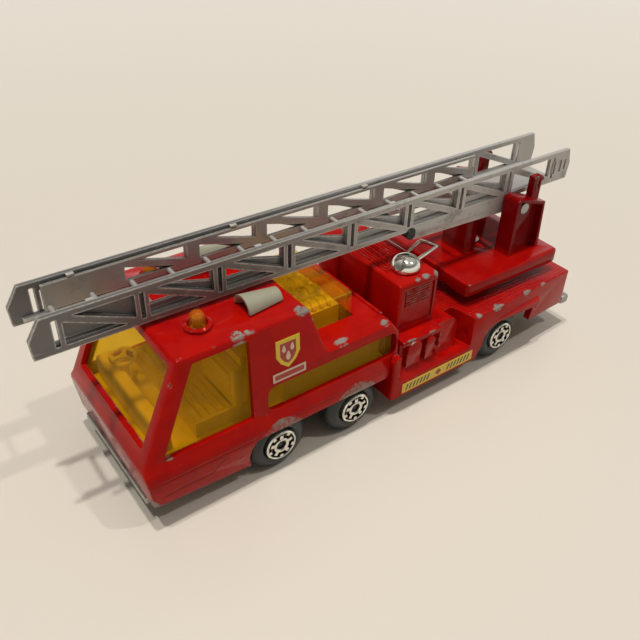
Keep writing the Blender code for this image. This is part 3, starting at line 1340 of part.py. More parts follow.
# ---- ladders ---------------------------------------------------------------------------------
def truss_holes(low, high, first_x, last_x):
    """The openings of a side frame: two triangles in each bay, with a slot in each double post."""
    holes = []
    height = high - low
    for bay in range(BAY_COUNT):
        front = FIRST_POST - bay * BAY_LENGTH - POST_PAIR / 2
        rear = FIRST_POST - (bay + 1) * BAY_LENGTH + POST_PAIR / 2
        if rear < last_x or front > first_x:
            continue
        run = front - rear
        shift = BRACE * math.hypot(run, height) / (2 * height)
        rise = shift * height / run
        holes.append([(rear + shift, low), (front, low), (front, high - rise)])
        holes.append([(rear, low + rise), (front - shift, high), (rear, high)])
    return holes


def post_slots(low, high, first_x, last_x):
    slots = []
    for post in range(BAY_COUNT + 1):
        x = FIRST_POST - post * BAY_LENGTH
        if not last_x < x < first_x:
            continue
        left = x - POST_SLOT / 2
        right = x + POST_SLOT / 2
        slots.append([(left, low), (right, low), (right, high), (left, high)])
    return slots


def base_frame(name, sign):
    """One side frame of the base ladder: chevron nose, truss, deep plate and pivot ear."""
    low = LADDER_Z
    high = LADDER_Z + RAIL_HEIGHT
    middle = (low + high) / 2
    deep = low - DEEP_DROP
    pivot = -PIVOT_BEHIND
    ear = arc((pivot, PIVOT_Z), (EAR_RADIUS, EAR_RADIUS), 200.0, 290.0, 4)
    outline = [
        (-LADDER_REAR + TAIL_CHAMFER / 2, low),
        (pivot - EAR_RADIUS, low),
        *ear,
        (pivot + EAR_RADIUS, deep - EAR_DROP),
        (DEEP_FRONT, deep),
        (DEEP_FRONT + LUG_RADIUS, low),
        (LADDER_FRONT - SEAT, low),
        (LADDER_FRONT, middle),
        (LADDER_FRONT - NOSE_CHAMFER, high),
        (-LADDER_REAR + TAIL_CHAMFER, high),
        (-LADDER_REAR, middle),
    ]
    hole_low = low + CHORD
    hole_high = high - CHORD
    holes = truss_holes(hole_low, hole_high, LADDER_FRONT, -LADDER_REAR)
    holes += post_slots(hole_low, hole_high, LADDER_FRONT, -LADDER_REAR)
    holes.append(arc((pivot, PIVOT_Z), (PIN_RADIUS + PIN_CLEARANCE,) * 2, 0.0, 345.0, 23))
    centre = sign * (LADDER_WIDTH - RAIL_THICK) / 2
    frame = plate(name, [outline] + holes, RAIL_THICK, "XZ", -centre)
    for back, length, height in GROOVES:
        x = -LADDER_REAR + back
        groove = [
            (x, middle - height / 2),
            (x + length, middle - height / 2),
            (x + length, middle + height / 2),
            (x, middle + height / 2),
        ]
        cut(frame, side_cutter(f"{name}_groove", groove, LADDER_WIDTH / 2 - GROOVE_DEPTH, sign))
    return frame


def base_ladder():
    """The base ladder: two side frames, the tracks inside them, floor plate, lugs and keepers."""
    ladder = base_frame("base_ladder", 1)
    join(ladder, tail_floor())
    join(ladder, base_frame("right_frame", -1))
    inner = LADDER_WIDTH / 2 - RAIL_THICK
    track_high = LADDER_Z + EXT_LIFT - SLIDE_CLEARANCE
    for name, sign in SIDES:
        wall = sorted((sign * (inner - TRACK_WIDTH), sign * (inner + RAIL_THICK / 3)))
        low = (EXT_REAR_STOP, wall[0], track_high - TRACK_THICK)
        join(ladder, block("track_" + name, low, (FIRST_POST + POST_PAIR, wall[1], track_high)))
        for index, share in enumerate(KEEPER_SHARES):
            x = EXT_FRONT * share
            low = (x, wall[0], LADDER_Z + EXT_LIFT + EXT_HEIGHT + SLIDE_CLEARANCE)
            high = (x + KEEPER_LENGTH, wall[1], LADDER_Z + RAIL_HEIGHT - KEEPER_SINK)
            join(ladder, block(f"keeper_{name}_{index}", low, high))
    reach = LADDER_WIDTH / 2 + LUG_PROUD
    z = LADDER_Z - LUG_DROP
    x = DEEP_FRONT + LUG_RADIUS
    join(ladder, rod("rest_bar", (x, -reach, z), (x, reach, z), LUG_RADIUS, segments=16))
    return piece(ladder, make_material("ladder_silver", (0.34, 0.34, 0.33), 0.38, 0.85))


def tail_floor():
    """The floor plate that ties the base ladder's frames together over the pivot."""
    inner = LADDER_WIDTH / 2 - RAIL_THICK * 0.6
    low = (-LADDER_REAR + NOSE_CHAMFER * 2, -inner, LADDER_Z + SEAT / 2)
    return block("tail_floor", low, (-PIVOT_BEHIND + EAR_RADIUS * 2, inner, LADDER_Z + CHORD - SEAT))


def extension_frame(name, sign):
    low = LADDER_Z + EXT_LIFT
    high = low + EXT_HEIGHT
    outline = [(-EXT_REAR, low), (EXT_FRONT, low), (EXT_FRONT, high), (-EXT_REAR, high)]
    holes = truss_holes(low + EXT_CHORD, high - EXT_CHORD / 2, EXT_FRONT, -EXT_REAR)
    centre = sign * (EXT_OUTER_Y - EXT_THICK / 2)
    return plate(name, [outline] + holes, EXT_THICK, "XZ", -centre)


def extension_ladder():
    """The sliding ladder: two open frames and their rungs."""
    ladder = extension_frame("extension_ladder", 1)
    z = LADDER_Z + EXT_LIFT + EXT_CHORD / 2
    reach = EXT_OUTER_Y - EXT_THICK / 4
    for index in range(RUNG_COUNT):
        x = FIRST_RUNG - index * BAY_LENGTH / 2
        join(ladder, rod("rung", (x, -reach, z), (x, reach, z), RUNG_RADIUS, segments=10))
    join(ladder, extension_frame("extension_right", -1))
    return piece(ladder, make_material("extension_silver", (0.42, 0.42, 0.40), 0.36, 0.85))


# ---- wheels ----------------------------------------------------------------------------------
def tyre(name):
    face = TYRE_FACE_Y
    bore = HUB_RADIUS + SEAT / 2
    radius = WHEEL_RADIUS
    wall = radius - bore
    profile = [
        (bore, face - SHOULDER * 0.35),
        (bore + wall * 0.22, face - SHOULDER * 0.05),
        (bore + wall * 0.34, face),
        (bore + wall * 0.60, face - SHOULDER * 0.2),
        (bore + wall * 0.88, face - SHOULDER * 0.55),
        (radius, face - SHOULDER),
        (radius, TYRE_INNER_Y + SHOULDER / 2),
        (radius - SHOULDER / 3, TYRE_INNER_Y),
        (bore, TYRE_INNER_Y),
    ]
    return turned(name, profile, WHEEL_SEGMENTS, closed=True)


def hub(name):
    """A plated hub: rim ring, sunk channel bridged by spokes, raised centre and axle bore."""
    face = TYRE_FACE_Y + HUB_PROUD
    sunk = face - HUB_SUNK
    bore = AXLE_RADIUS + AXLE_CLEARANCE
    bore_end = face - HUB_SUNK * 1.8
    profile = [
        (0.0, face),
        (HUB_CENTRE_RADIUS, face),
        (HUB_CENTRE_RADIUS, sunk),
        (HUB_RADIUS - HUB_RING, sunk),
        (HUB_RADIUS - HUB_RING, face),
        (HUB_RADIUS, face - SEAT / 2),
        (HUB_RADIUS, TYRE_INNER_Y),
        (bore, TYRE_INNER_Y),
        (bore, bore_end),
        (0.0, bore_end),
    ]
    disc = turned(name, profile, WHEEL_SEGMENTS, closed=False)
    for index in range(SPOKE_COUNT):
        angle = 2 * math.pi * (index + 0.25) / SPOKE_COUNT
        low = (HUB_CENTRE_RADIUS - SEAT, -SPOKE_WIDTH / 2, sunk - SEAT)
        high = (HUB_RADIUS - HUB_RING + SEAT, SPOKE_WIDTH / 2, face - SEAT / 2)
        spoke = block(f"{name}_spoke_{index}", low, high)
        spoke.data.transform(Matrix.Rotation(angle, 4, "Z"))
        join(disc, spoke)
    return disc


def wheelset(place_name, x):
    """An axle with a hub and a tyre at each end, all hanging from the axle line."""
    line = empty(place_name + "_axle_line", (x, 0.0, WHEEL_RADIUS))
    reach = TYRE_FACE_Y + HUB_PROUD - HUB_SUNK * 1.8 - SEAT
    axle = rod(place_name + "_axle", (0.0, -reach, 0.0), (0.0, reach, 0.0), AXLE_RADIUS, segments=20)
    place(axle, line)
    piece(axle, make_material(place_name + "_axle_steel", (0.35, 0.35, 0.34), 0.35, 1.0), smooth=True)
    for name, sign in SIDES:
        turn = (math.radians(-90 * sign), 0.0, 0.0)
        rubber = tyre(f"{place_name}_tyre_{name}")
        place(rubber, line, turn=turn)
        piece(rubber, make_material(f"{place_name}_rubber_{name}", (0.018, 0.019, 0.018), 0.75), smooth=True)
        disc = hub(f"{place_name}_hub_{name}")
        place(disc, line, turn=turn)
        plating = make_material(f"{place_name}_plating_{name}", (0.62, 0.61, 0.57), 0.25, 1.0)
        piece(disc, plating, smooth=True)


# ---- labels ----------------------------------------------------------------------------------
def emblem(name, sign):
    """A plain shield label on the cab's side, behind the door window."""
    x = NOSE_X - EMBLEM_BACK
    z = EMBLEM_Z
    half = EMBLEM_SIZE / 2
    shield = [
        (x - half * 0.8, z + half),
        (x - half * 0.8, z - half * 0.1),
        (x - half * 0.5, z - half * 0.6),
        (x, z - half),
        (x + half * 0.5, z - half * 0.6),
        (x + half * 0.8, z - half * 0.1),
        (x + half * 0.8, z + half),
    ]
    label = cab_form("emblem_" + name, -LABEL_SEAT - LABEL_THICK)
    common(label, side_cutter("shield_" + name, shield, WAIST_WIDTH / 4, sign))
    cut(label, cab_form("emblem_back_" + name, -LABEL_SEAT))
    return piece(label, make_material("emblem_yellow_" + name, (0.80, 0.55, 0.05), 0.4))


def strip(name, sign):
    """A plain striped label along the foot of the rear casting's side."""
    front = REAR_FRONT_X - STRIP_BACK
    z = STRIP_Z
    face = REAR_WIDTH / 2 + LABEL_SEAT
    walls = sorted((sign * face, sign * (face + LABEL_THICK)))
    low = (front - STRIP_LENGTH, walls[0], z - STRIP_HEIGHT / 2)
    label = block("strip_" + name, low, (front, walls[1], z + STRIP_HEIGHT / 2))
    return piece(label, make_material("strip_yellow_" + name, (0.85, 0.65, 0.05), 0.4))


def main():
    start_scene()
    cab_casting()
    amber_glazing()
    interior()
    for name, sign in SIDES:
        horn(name, sign)
        emblem(name, sign)
        strip(name, sign)
    rear_casting()
    base_plate()
    for place_name in RIVETS:
        base_rivet(place_name)
    turntable_rivet()
    searchlight()
    swivel = empty("swivel_axis", (SWIVEL_X, 0.0, 0.0), PARKED_SWIVEL)
    place(turntable(), swivel)
    place(ladder_pin(), swivel)
    pivot = empty("pivot_axis", (-PIVOT_BEHIND, 0.0, PIVOT_Z))
    pivot.parent = swivel
    for ladder in (base_ladder(), extension_ladder()):
        place(ladder, pivot, move=(PIVOT_BEHIND, 0.0, -PIVOT_Z))
    for name, x in zip(("front", "second", "rear"), AXLE_X):
        wheelset(name, x)


if __name__ == "__main__":
    main()
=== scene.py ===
"""Toy fire engine: finishes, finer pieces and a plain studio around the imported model.

Laid out as an add-on and run as a script. Lengths are in metres, in the model's own frame: +X to the
front of the engine, +Y to its left, +Z up, the ground at zero.
"""

import json
import math

import bmesh
import bpy
from bpy.props import FloatProperty, FloatVectorProperty, IntProperty, PointerProperty
from mathutils import Matrix, Vector


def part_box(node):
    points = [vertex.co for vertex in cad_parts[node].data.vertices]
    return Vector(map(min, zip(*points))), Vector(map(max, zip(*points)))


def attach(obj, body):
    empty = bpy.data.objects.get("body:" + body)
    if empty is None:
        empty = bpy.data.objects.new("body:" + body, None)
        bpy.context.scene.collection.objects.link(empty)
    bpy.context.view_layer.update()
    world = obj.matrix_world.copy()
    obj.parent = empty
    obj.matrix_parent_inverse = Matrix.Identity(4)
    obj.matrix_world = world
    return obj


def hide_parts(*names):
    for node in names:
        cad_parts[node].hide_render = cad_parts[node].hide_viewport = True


bl_info = {
    "name": "Toy fire engine",
    "version": (1, 0, 0),
    "blender": (4, 5, 0),
    "location": "3D View > Sidebar > Fire engine",
    "description": "Dresses the toy fire engine's solids with finishes, finer pieces and a studio",
    "category": "Object",
}

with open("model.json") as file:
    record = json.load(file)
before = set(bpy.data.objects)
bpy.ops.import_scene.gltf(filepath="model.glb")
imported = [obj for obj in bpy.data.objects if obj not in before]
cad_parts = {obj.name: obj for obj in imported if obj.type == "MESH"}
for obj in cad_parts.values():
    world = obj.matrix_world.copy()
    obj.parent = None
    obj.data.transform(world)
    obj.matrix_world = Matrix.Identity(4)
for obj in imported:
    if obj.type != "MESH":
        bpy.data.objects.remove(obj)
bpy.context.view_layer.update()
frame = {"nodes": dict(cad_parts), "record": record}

MM = 0.001
SIDES = (("left", 1), ("right", -1))
AXLES = ("front", "second", "rear")
WHEEL_STEPS = 72
SWIVEL_X = -48.55             # millimetres: the turntable's middle
LADDER_SLANT = 0.02095        # the ladder's turn to the right, as run sideways per length
BEACON = (45.35, 11.0)        # millimetres: place ahead and off the middle of both beacons
RING = (2.15, 3.1)            # millimetres: inner and outer radius of the ring round a beacon's foot
LUG = (-17.6, 42.1, 1.6)      # millimetres: place ahead, height and radius of the ladder's rest lugs

# The hub, in metres
HUB_RING = 0.00055            # width of the thin outer ring
HUB_SINK = 0.0007             # depth of the channel below the face
HUB_LIP = 0.00012             # rounding of the raised edges
HUB_BORE = 0.00110            # radius of the hole inside the middle ring
HUB_LAND = 0.00140            # radius where the middle ring's flat top starts
HUB_CENTRE = 0.00205          # outer radius of the middle ring
HUB_TEETH = 5
TYRE_SHOULDER = 0.0020        # fall of the side wall towards the tread
TYRE_GAP = 0.00005            # between tyre and hub

# The studio
LAMP_FAR = 4.0                # metres from the model
LAMP_COLOUR = (1.0, 0.965, 0.91)
LAMP_LEANS = {
    "overhead": (0.052, 0.024),
    "ahead": (0.23, -0.03),
    "behind": (-0.452, 0.416),
    "ceiling": (-0.25, 0.0),
}
LAMP_SIZES = {"overhead": 0.14, "ahead": 0.14, "behind": 0.12, "ceiling": 7.0}
AIR_COLOUR = (1.0, 0.97, 0.93)
FLOOR_HALF = 3.0              # metres
FLOOR_GIVEN = 0.8             # share of the floor's colour that it gives back as light
CAMERA_PLACE = (0.09931, 0.12283, 0.13413)
CAMERA_TURN = (232.55, -36.24, 1.96)     # degrees: heading, tilt, roll
CAMERA_LENS = 41.565

# Shades within the finishes
# painted shade in the enamel's moulded grooves
GROOVE_SHADE_RED = (0.12, 0.002, 0.004)
# painted shade in the enamel's corners and creases
CREVICE_SHADE_RED = (0.07, 0.003, 0.004)
SCUFF_PINK = (0.60, 0.28, 0.24)
CHIP_RIM = (0.12, 0.02, 0.02)
CHIP_DARK = (0.16, 0.15, 0.13)
RUNG_GREY = (0.52, 0.50, 0.47)
SCRATCH_GREY = (0.60, 0.58, 0.54)
RUBBED_SILVER = (0.66, 0.64, 0.59)
# painted shade in the ladders' crevices
LADDER_CREVICE_SHADE = (0.035, 0.033, 0.03)
LUG_DARK = (0.02, 0.024, 0.02)
RUBBED_ZINC = (0.62, 0.61, 0.58)
# painted shade in the bare metal's crevices
ZINC_CREVICE_SHADE = (0.03, 0.028, 0.025)
# painted shade in the plating's recesses
PLATING_CREVICE_SHADE = (0.04, 0.035, 0.03)
HUB_BLACK = (0.006, 0.006, 0.006)
TREAD_DUST = (0.10, 0.10, 0.095)
AMBER_GLOSS = (1.0, 0.56, 0.02)
AMBER_SMEAR = (0.78, 0.42, 0.02)
BEACON_AMBER = (0.80, 0.22, 0.006)
LABEL_RUB = (0.45, 0.38, 0.30)
RIVET_STEEL = (0.45, 0.44, 0.42)
BEACON_ORANGE = (0.90, 0.36, 0.01)
LABEL_PALE = (0.80, 0.58, 0.42)


# ---- sizes and colours that a user would change ----------------------------------------------
def colour(name, words, value):
    """A colour that the panel can change."""
    return FloatVectorProperty(
        name=name,
        description=words,
        default=value,
        size=3,
        subtype="COLOR",
        min=0,
        max=1,
    )


def level(name, words, value, **more):
    """A number from 0 up that the panel can change."""
    return FloatProperty(name=name, description=words, default=value, min=0, **more)


class EnginePaint(bpy.types.PropertyGroup):
    red: colour("Enamel", "Red of the die-cast body", (0.47, 0.005, 0.002))
    deep_red: colour("Enamel, thick", "Red where the enamel lies thick", (0.33, 0.002, 0.005))
    bare: colour("Bare metal", "Zinc showing through the chips", (0.42, 0.39, 0.34))
    roughness: level("Enamel roughness", "Gloss of the enamel", 0.16, max=1)
    wear: level("Wear", "How far the edges are chipped", 0.5, max=1)
    edge: level("Edge softness", "Rounding of the castings' edges", 0.00022, unit="LENGTH")


class EngineMetal(bpy.types.PropertyGroup):
    silver: colour("Ladder silver", "Silver of both ladders", (0.50, 0.49, 0.47))
    # also the colour of the painted darker reflection towards the ladder's front
    tarnish_and_painted_reflection: colour("Ladder tarnish", "Grey of the rubbed patches", (0.17, 0.165, 0.16))
    zinc: colour("Zinc", "Bare metal of the base", (0.50, 0.49, 0.46))
    chrome: colour("Plating", "Bright plating of lamp and hubs", (0.72, 0.70, 0.62))


class EnginePlastic(bpy.types.PropertyGroup):
    amber: colour("Amber", "Colour that the glazing gives to light", (0.97, 0.87, 0.40))
    yellow: colour("Yellow", "Yellow of the interior moulding", (0.92, 0.66, 0.02))
    cream: colour("Horn cream", "Grey cream of the horns", (0.38, 0.37, 0.27))
    rubber: colour("Rubber", "Black of the tyres", (0.014, 0.019, 0.018))
    label: colour("Label yellow", "Yellow of the labels", (0.86, 0.58, 0.03))
    crest: colour("Crest red", "Red field and red bars of the labels", (0.42, 0.03, 0.02))
    ink: colour("Ink", "Dark ink of the labels", (0.025, 0.022, 0.018))


class EngineStage(bpy.types.PropertyGroup):
    floor: colour("Floor", "Pale polished floor", (0.79, 0.73, 0.64))
    overhead: level("Overhead", "Power of the lamp above", 56.0, unit="POWER")
    ahead: level("Ahead", "Power of the lamp above the nose", 43.0, unit="POWER")
    behind: level("Behind", "Power of the lamp behind", 25.0, unit="POWER")
    ceiling: level("Ceiling", "Power of the wide soft lamp", 40.0, unit="POWER")
    sky: level("Surroundings", "Strength of the light from all round", 0.11)
    band: level("Low band", "Paler surroundings low down, as seen and as reflected", 0.9)
    samples: IntProperty(
        name="Edge samples",
        description="Rays that find each edge",
        default=8,
        min=2,
        max=32,
    )


class EngineSettings(bpy.types.PropertyGroup):
    paint: PointerProperty(type=EnginePaint)
    metal: PointerProperty(type=EngineMetal)
    plastic: PointerProperty(type=EnginePlastic)
    stage: PointerProperty(type=EngineStage)


def settings():
    return bpy.context.scene.fire_engine


# ---- shader expressions ----------------------------------------------------------------------
class Wire:
    """A socket that Python's operators can work on."""

    def __init__(self, finish, socket):
        self.finish = finish
        self.socket = socket

    def __add__(self, other):
        return self.finish.maths("ADD", self, other)

    def __radd__(self, other):
        return self.finish.maths("ADD", other, self)

    def __sub__(self, other):
        return self.finish.maths("SUBTRACT", self, other)

    def __rsub__(self, other):
        return self.finish.maths("SUBTRACT", other, self)

    def __mul__(self, other):
        return self.finish.maths("MULTIPLY", self, other)

    def __rmul__(self, other):
        return self.finish.maths("MULTIPLY", other, self)

    def __pow__(self, other):
        return self.finish.maths("POWER", self, other)

    def __abs__(self):
        return self.finish.maths("ABSOLUTE", self)


class Finish:
    """A material, or the world, and the one method that adds any node to it."""

    def __init__(self, name, owner=None):
        self.material = owner or bpy.data.materials.new(name)
        self.material.use_nodes = True
        self.tree = self.material.node_tree
        self.tree.nodes.clear()

    def add(self, kind, set_first=None, sockets=None, output=0):
        """A node of a kind, its settings set first, then its sockets, by a value or a wire."""
        node = self.tree.nodes.new(kind)
        for key, value in (set_first or {}).items():
            setattr(node, key, value)
        for key, value in (sockets or {}).items():
            if isinstance(value, Wire):
                self.tree.links.new(value.socket, node.inputs[key])
            else:
                node.inputs[key].default_value = value
        return Wire(self, node.outputs[output]) if node.outputs else None

    def maths(self, operation, *values):
        return self.add("ShaderNodeMath", {"operation": operation}, dict(enumerate(values)))

    def step(self, value, low, high):
        """0 below low, 1 above high, smooth between."""
        sockets = {"Value": value, "From Min": low, "From Max": high}
        return self.add("ShaderNodeMapRange", {"interpolation_type": "SMOOTHSTEP"}, sockets)

    def mix(self, share, first, second):
        """A colour between two, by a share."""
        sockets = {0: share, 6: as_rgba(first), 7: as_rgba(second)}
        return self.add("ShaderNodeMix", {"data_type": "RGBA"}, sockets, 2)

    def place(self):
        """The point on the piece in millimetres, the same in every pose."""
        spot = self.add("ShaderNodeTexCoord", output="Object")
        return self.add("ShaderNodeVectorMath", {"operation": "SCALE"}, {0: spot, "Scale": 1 / MM})

    def axes(self):
        """The point's three coordinates in millimetres."""
        split = self.add("ShaderNodeSeparateXYZ", None, {0: self.place()})
        return [Wire(self, socket) for socket in split.socket.node.outputs]

    def noise(self, size, detail=3.0, rough=0.5, shift=0.0, stretch=(1.0, 1.0, 1.0)):
        """Mottling whose lumps are about size millimetres across."""
        sockets = {0: self.place(), 1: stretch, 2: (shift, shift * 0.7, shift * 0.4)}
        spot = self.add("ShaderNodeVectorMath", {"operation": "MULTIPLY_ADD"}, sockets)
        sockets = {"Vector": spot, "Scale": 1 / size, "Detail": detail, "Roughness": rough}
        return self.add("ShaderNodeTexNoise", {"noise_dimensions": "3D"}, sockets)

    def near_edge(self, reach):
        """Rises from 0 on flats to about a half on outside edges."""
        chosen = {"inside": True, "only_local": True, "samples": settings().stage.samples}
        return 1 - self.add("ShaderNodeAmbientOcclusion", chosen, {"Distance": reach}, "AO")

    def crevice(self, reach):
        """Rises towards 1 in corners and grooves."""
        chosen = {"samples": settings().stage.samples}
        return 1 - self.add("ShaderNodeAmbientOcclusion", chosen, {"Distance": reach}, "AO")

    def bump(self, height, strength, depth):
        sockets = {"Strength": strength, "Distance": depth, "Height": height}
        return self.add("ShaderNodeBump", None, sockets)

    def principled(self, **sockets):
        named = {key.replace("_", " "): value for key, value in sockets.items()}
        for key in ("Base Color", "Specular Tint"):
            if key in named:
                named[key] = as_rgba(named[key])
        return self.add("ShaderNodeBsdfPrincipled", None, named)

    def end(self, shader):
        self.add("ShaderNodeOutputMaterial", None, {"Surface": shader})
        return self.material


def as_rgba(value):
    return value if isinstance(value, Wire) else (*value, 1.0)


# ---- finishes --------------------------------------------------------------------------------
def red_enamel(name, spots=(), relief=None, depth=None):
    """Stoved enamel over zinc, chipped along its edges and at the given spots, with moulded grooves; painted
    shade darkens the grooves and corners, and darkens by height where depth is given.
    """
    paint = settings().paint
    finish = Finish(name)
    x, y, z = finish.axes()
    edge = finish.near_edge(0.0008)
    ragged = finish.noise(0.9, 4.0, 0.65)
    patches = finish.noise(7.0, 2.0, 0.5, 31.0)
    raised = edge * 1.5 + (ragged - 0.5) * 1.5 + (patches - 0.5) * 1.0
    for spot, radius, strength in spots:
        away = finish.maths("SQRT", (x - spot[0]) ** 2 + (abs(y) - spot[1]) ** 2 + (z - spot[2]) ** 2)
        raised = raised + finish.step(away, radius, radius * 0.3) * strength * (edge * 0.5 + 0.95)
    limit = 1.3 - paint.wear * 0.5
    chipped = finish.step(raised, limit, limit + 0.06)
    thick = finish.step(finish.noise(5.0, 3.0, 0.5, 7.0), 0.35, 0.7)
    enamel = finish.mix(thick * 0.5, paint.red, paint.deep_red)
    # depth paints shade: it darkens the enamel by height.
    if depth:
        enamel = finish.mix(depth(finish, z), enamel, tuple(part * 0.45 for part in paint.deep_red))
    sunk = relief(finish, x, y, z) if relief else None
    if sunk:
        # Painted shade in the moulded grooves: a darker red along them.
        enamel = finish.mix(sunk * 0.5, enamel, GROOVE_SHADE_RED)
    # Painted shade in corners and creases: a darker red there. The same mask also makes them rougher.
    grime_and_shade = finish.step(finish.crevice(0.0014), 0.5, 0.95)
    enamel = finish.mix(grime_and_shade * 0.5, enamel, CREVICE_SHADE_RED)
    scuffs = finish.step(finish.noise(2.0, 5.0, 0.75, 3.0, (0.35, 1.0, 1.0)), 0.64, 0.74)
    enamel = finish.mix(scuffs * 0.07, enamel, SCUFF_PINK)
    metal = finish.mix(finish.noise(0.6, 3.0, 0.6, 9.0), paint.bare, CHIP_DARK)
    rim = finish.step(raised, limit - 0.09, limit) * (1 - chipped)
    enamel = finish.mix(rim * 0.55, enamel, CHIP_RIM)
    height = finish.noise(2.6, 2.0, 0.5, 17.0) * 0.10 + finish.noise(0.5, 2.0, 0.5, 5.0) * 0.02 - chipped
    if sunk:
        height = height - sunk * 1.3
    shader = finish.principled(
        Base_Color=finish.mix(chipped, enamel, metal),
        Metallic=chipped * 0.35,
        Roughness=paint.roughness + scuffs * 0.16 + grime_and_shade * 0.2 + chipped * 0.34,
        Specular_IOR_Level=0.22,
        Specular_Tint=(1.0, 0.30, 0.25),
        Normal=finish.bump(height, 0.6, 0.00009),
    )
    return finish.end(shader)


def within(finish, value, low, high, soft=0.05):
    """1 between two places, 0 outside them."""
    return finish.step(value, low - soft, low) * (1 - finish.step(value, high, high + soft))


def cab_relief(finish, x, y, z):
    """Fine grooves on the cab's sides: one along the door's foot that turns up, others under the ledge."""
    side = finish.step(abs(y), 19.0, 19.3)
    path = 9.4 + finish.step(x, 49.5, 46.5) * 2.6
    foot = within(finish, z - path, -0.18, 0.18, 0.2) * within(finish, x, 45.6, 60.5, 0.8)
    ledge = within(finish, z, 13.7, 13.95, 0.2) * within(finish, x, 38.0, 61.0, 0.8)
    sill = within(finish, z, 15.3, 15.5, 0.2) * within(finish, x, -2.0, 32.0, 0.8)
    return side * (foot + ledge * 0.7 + sill * 0.7)


def rear_relief(finish, x, y, z):
    """Grooves between the squares of the rear deck's tread and a fine border round each louvre panel."""
    across = within(finish, finish.maths("PINGPONG", x, 0.55), 0.18, 0.7, 0.08)
    along = within(finish, finish.maths("PINGPONG", y, 0.55), 0.18, 0.7, 0.08)
    deck = within(finish, z, 20.0, 20.7) * finish.step(x, -21.0, -22.0)
    outer = within(finish, x, -17.9, -7.1) * within(finish, z, 22.9, 35.0)
    inner = within(finish, x, -17.6, -7.4) * within(finish, z, 23.2, 34.7)
    housing = finish.step(abs(y), 15.4, 15.8) * (outer - inner)
    return deck * (1 - across * along) * 0.8 + housing * 0.9


def upright_painted_shade(finish, z):
    """Painted shade: the turntable's enamel is darkened a little all over and much more on the uprights."""
    return 0.25 + finish.step(z, 27.6, 30.0) * 0.55


def worn_silver(name, front_x, rear_x, dark_spot=None):
    """Silvered casting with rubbed patches, scratches and bright rubbed edges; a painted reflection makes it
    darker towards the ladder's front.
    """
    metal = settings().metal
    finish = Finish(name)
    x, y, z = finish.axes()
    edge = finish.near_edge(0.0007)
    blotch = finish.noise(4.5, 4.0, 0.6)
    fine = finish.noise(0.7, 4.0, 0.7, 12.0)
    # Painted reflection: the silver is painted darker towards the ladder's front, where the metal reflects
    # darker surroundings.
    ahead = finish.step(x, rear_x * 0.4, front_x * 0.5)
    base = finish.mix(ahead, metal.silver, metal.tarnish_and_painted_reflection)
    skew = abs(y + (x - SWIVEL_X) * LADDER_SLANT)
    rungs = finish.step(skew, 5.3, 4.9) * finish.step(x, rear_x * 0.75, rear_x * 0.7)
    base = finish.mix(rungs * 0.75, base, RUNG_GREY)
    dull = finish.step(blotch + (fine - 0.5) * 0.5, 0.52, 0.70) * (1 - rungs * 0.6)
    scratch = finish.step(finish.noise(0.8, 4.0, 0.7, 21.0, (0.15, 1.0, 0.6)), 0.60, 0.70)
    base = finish.mix(scratch * 0.35, base, SCRATCH_GREY)
    base = finish.mix(dull * 0.45, base, tuple(part * 0.8 for part in metal.tarnish_and_painted_reflection))
    bright = finish.step(edge + (fine - 0.5) * 0.55, 0.30, 0.46)
    base = finish.mix(bright * 0.8, base, RUBBED_SILVER)
    # Painted shade in the crevices. The same mask also makes them rougher.
    grime_and_shade = finish.step(finish.crevice(0.0012), 0.45, 0.95)
    base = finish.mix(grime_and_shade * 0.6, base, LADDER_CREVICE_SHADE)
    if dark_spot:
        away = finish.maths("SQRT", (x - dark_spot[0]) ** 2 + (z - dark_spot[1]) ** 2)
        base = finish.mix(finish.step(away, dark_spot[2] + 0.2, dark_spot[2]), base, LUG_DARK)
    shader = finish.principled(
        Base_Color=base,
        Metallic=0.35 + bright * 0.25,
        Roughness=0.36 + dull * 0.16 + grime_and_shade * 0.2 + fine * 0.08,
        Normal=finish.bump(finish.noise(1.4, 4.0, 0.6, 4.0), 0.35, 0.00008),
    )
    return finish.end(shader)


def bare_zinc(name, tint):
    """Unpainted cast metal with a fine sandy skin and rubbed edges."""
    finish = Finish(name)
    sandy = finish.noise(0.45, 3.0, 0.6)
    blotch = finish.step(finish.noise(4.5, 3.0, 0.6, 5.0), 0.3, 0.75)
    base = finish.mix(blotch * 0.6, tint, tuple(part * 0.45 for part in tint))
    bright = finish.step(finish.near_edge(0.0005) + (sandy - 0.5) * 0.3, 0.35, 0.5)
    base = finish.mix(bright * 0.5, base, RUBBED_ZINC)
    # Painted shade in the crevices: a much darker metal there.
    grime_and_shade = finish.step(finish.crevice(0.0018), 0.4, 0.95)
    base = finish.mix(grime_and_shade * 0.6, base, ZINC_CREVICE_SHADE)
    shader = finish.principled(
        Base_Color=base,
        Metallic=0.85,
        Roughness=0.42 + blotch * 0.16 - bright * 0.12,
        Normal=finish.bump(sandy, 0.3, 0.00006),
    )
    return finish.end(shader)


def bright_plating(name):
    """Vacuum plating: bright, faintly wavy, rougher in the recesses and darkened there by painted shade."""
    metal = settings().metal
    finish = Finish(name)
    dull = finish.step(finish.noise(1.5, 4.0, 0.6), 0.45, 0.8)
    # Painted shade in the recesses. The same mask also makes them rougher.
    grime_and_shade = finish.step(finish.crevice(0.0009), 0.4, 0.95)
    base = finish.mix(dull * 0.35, metal.chrome, tuple(part * 0.55 for part in metal.chrome))
    base = finish.mix(grime_and_shade * 0.7, base, PLATING_CREVICE_SHADE)
    shader = finish.principled(
        Base_Color=base,
        Metallic=1.0,
        Roughness=0.10 + dull * 0.14 + grime_and_shade * 0.3,
        Normal=finish.bump(finish.noise(1.2, 2.0, 0.5, 8.0), 0.2, 0.00005),
    )
    return finish.end(shader)


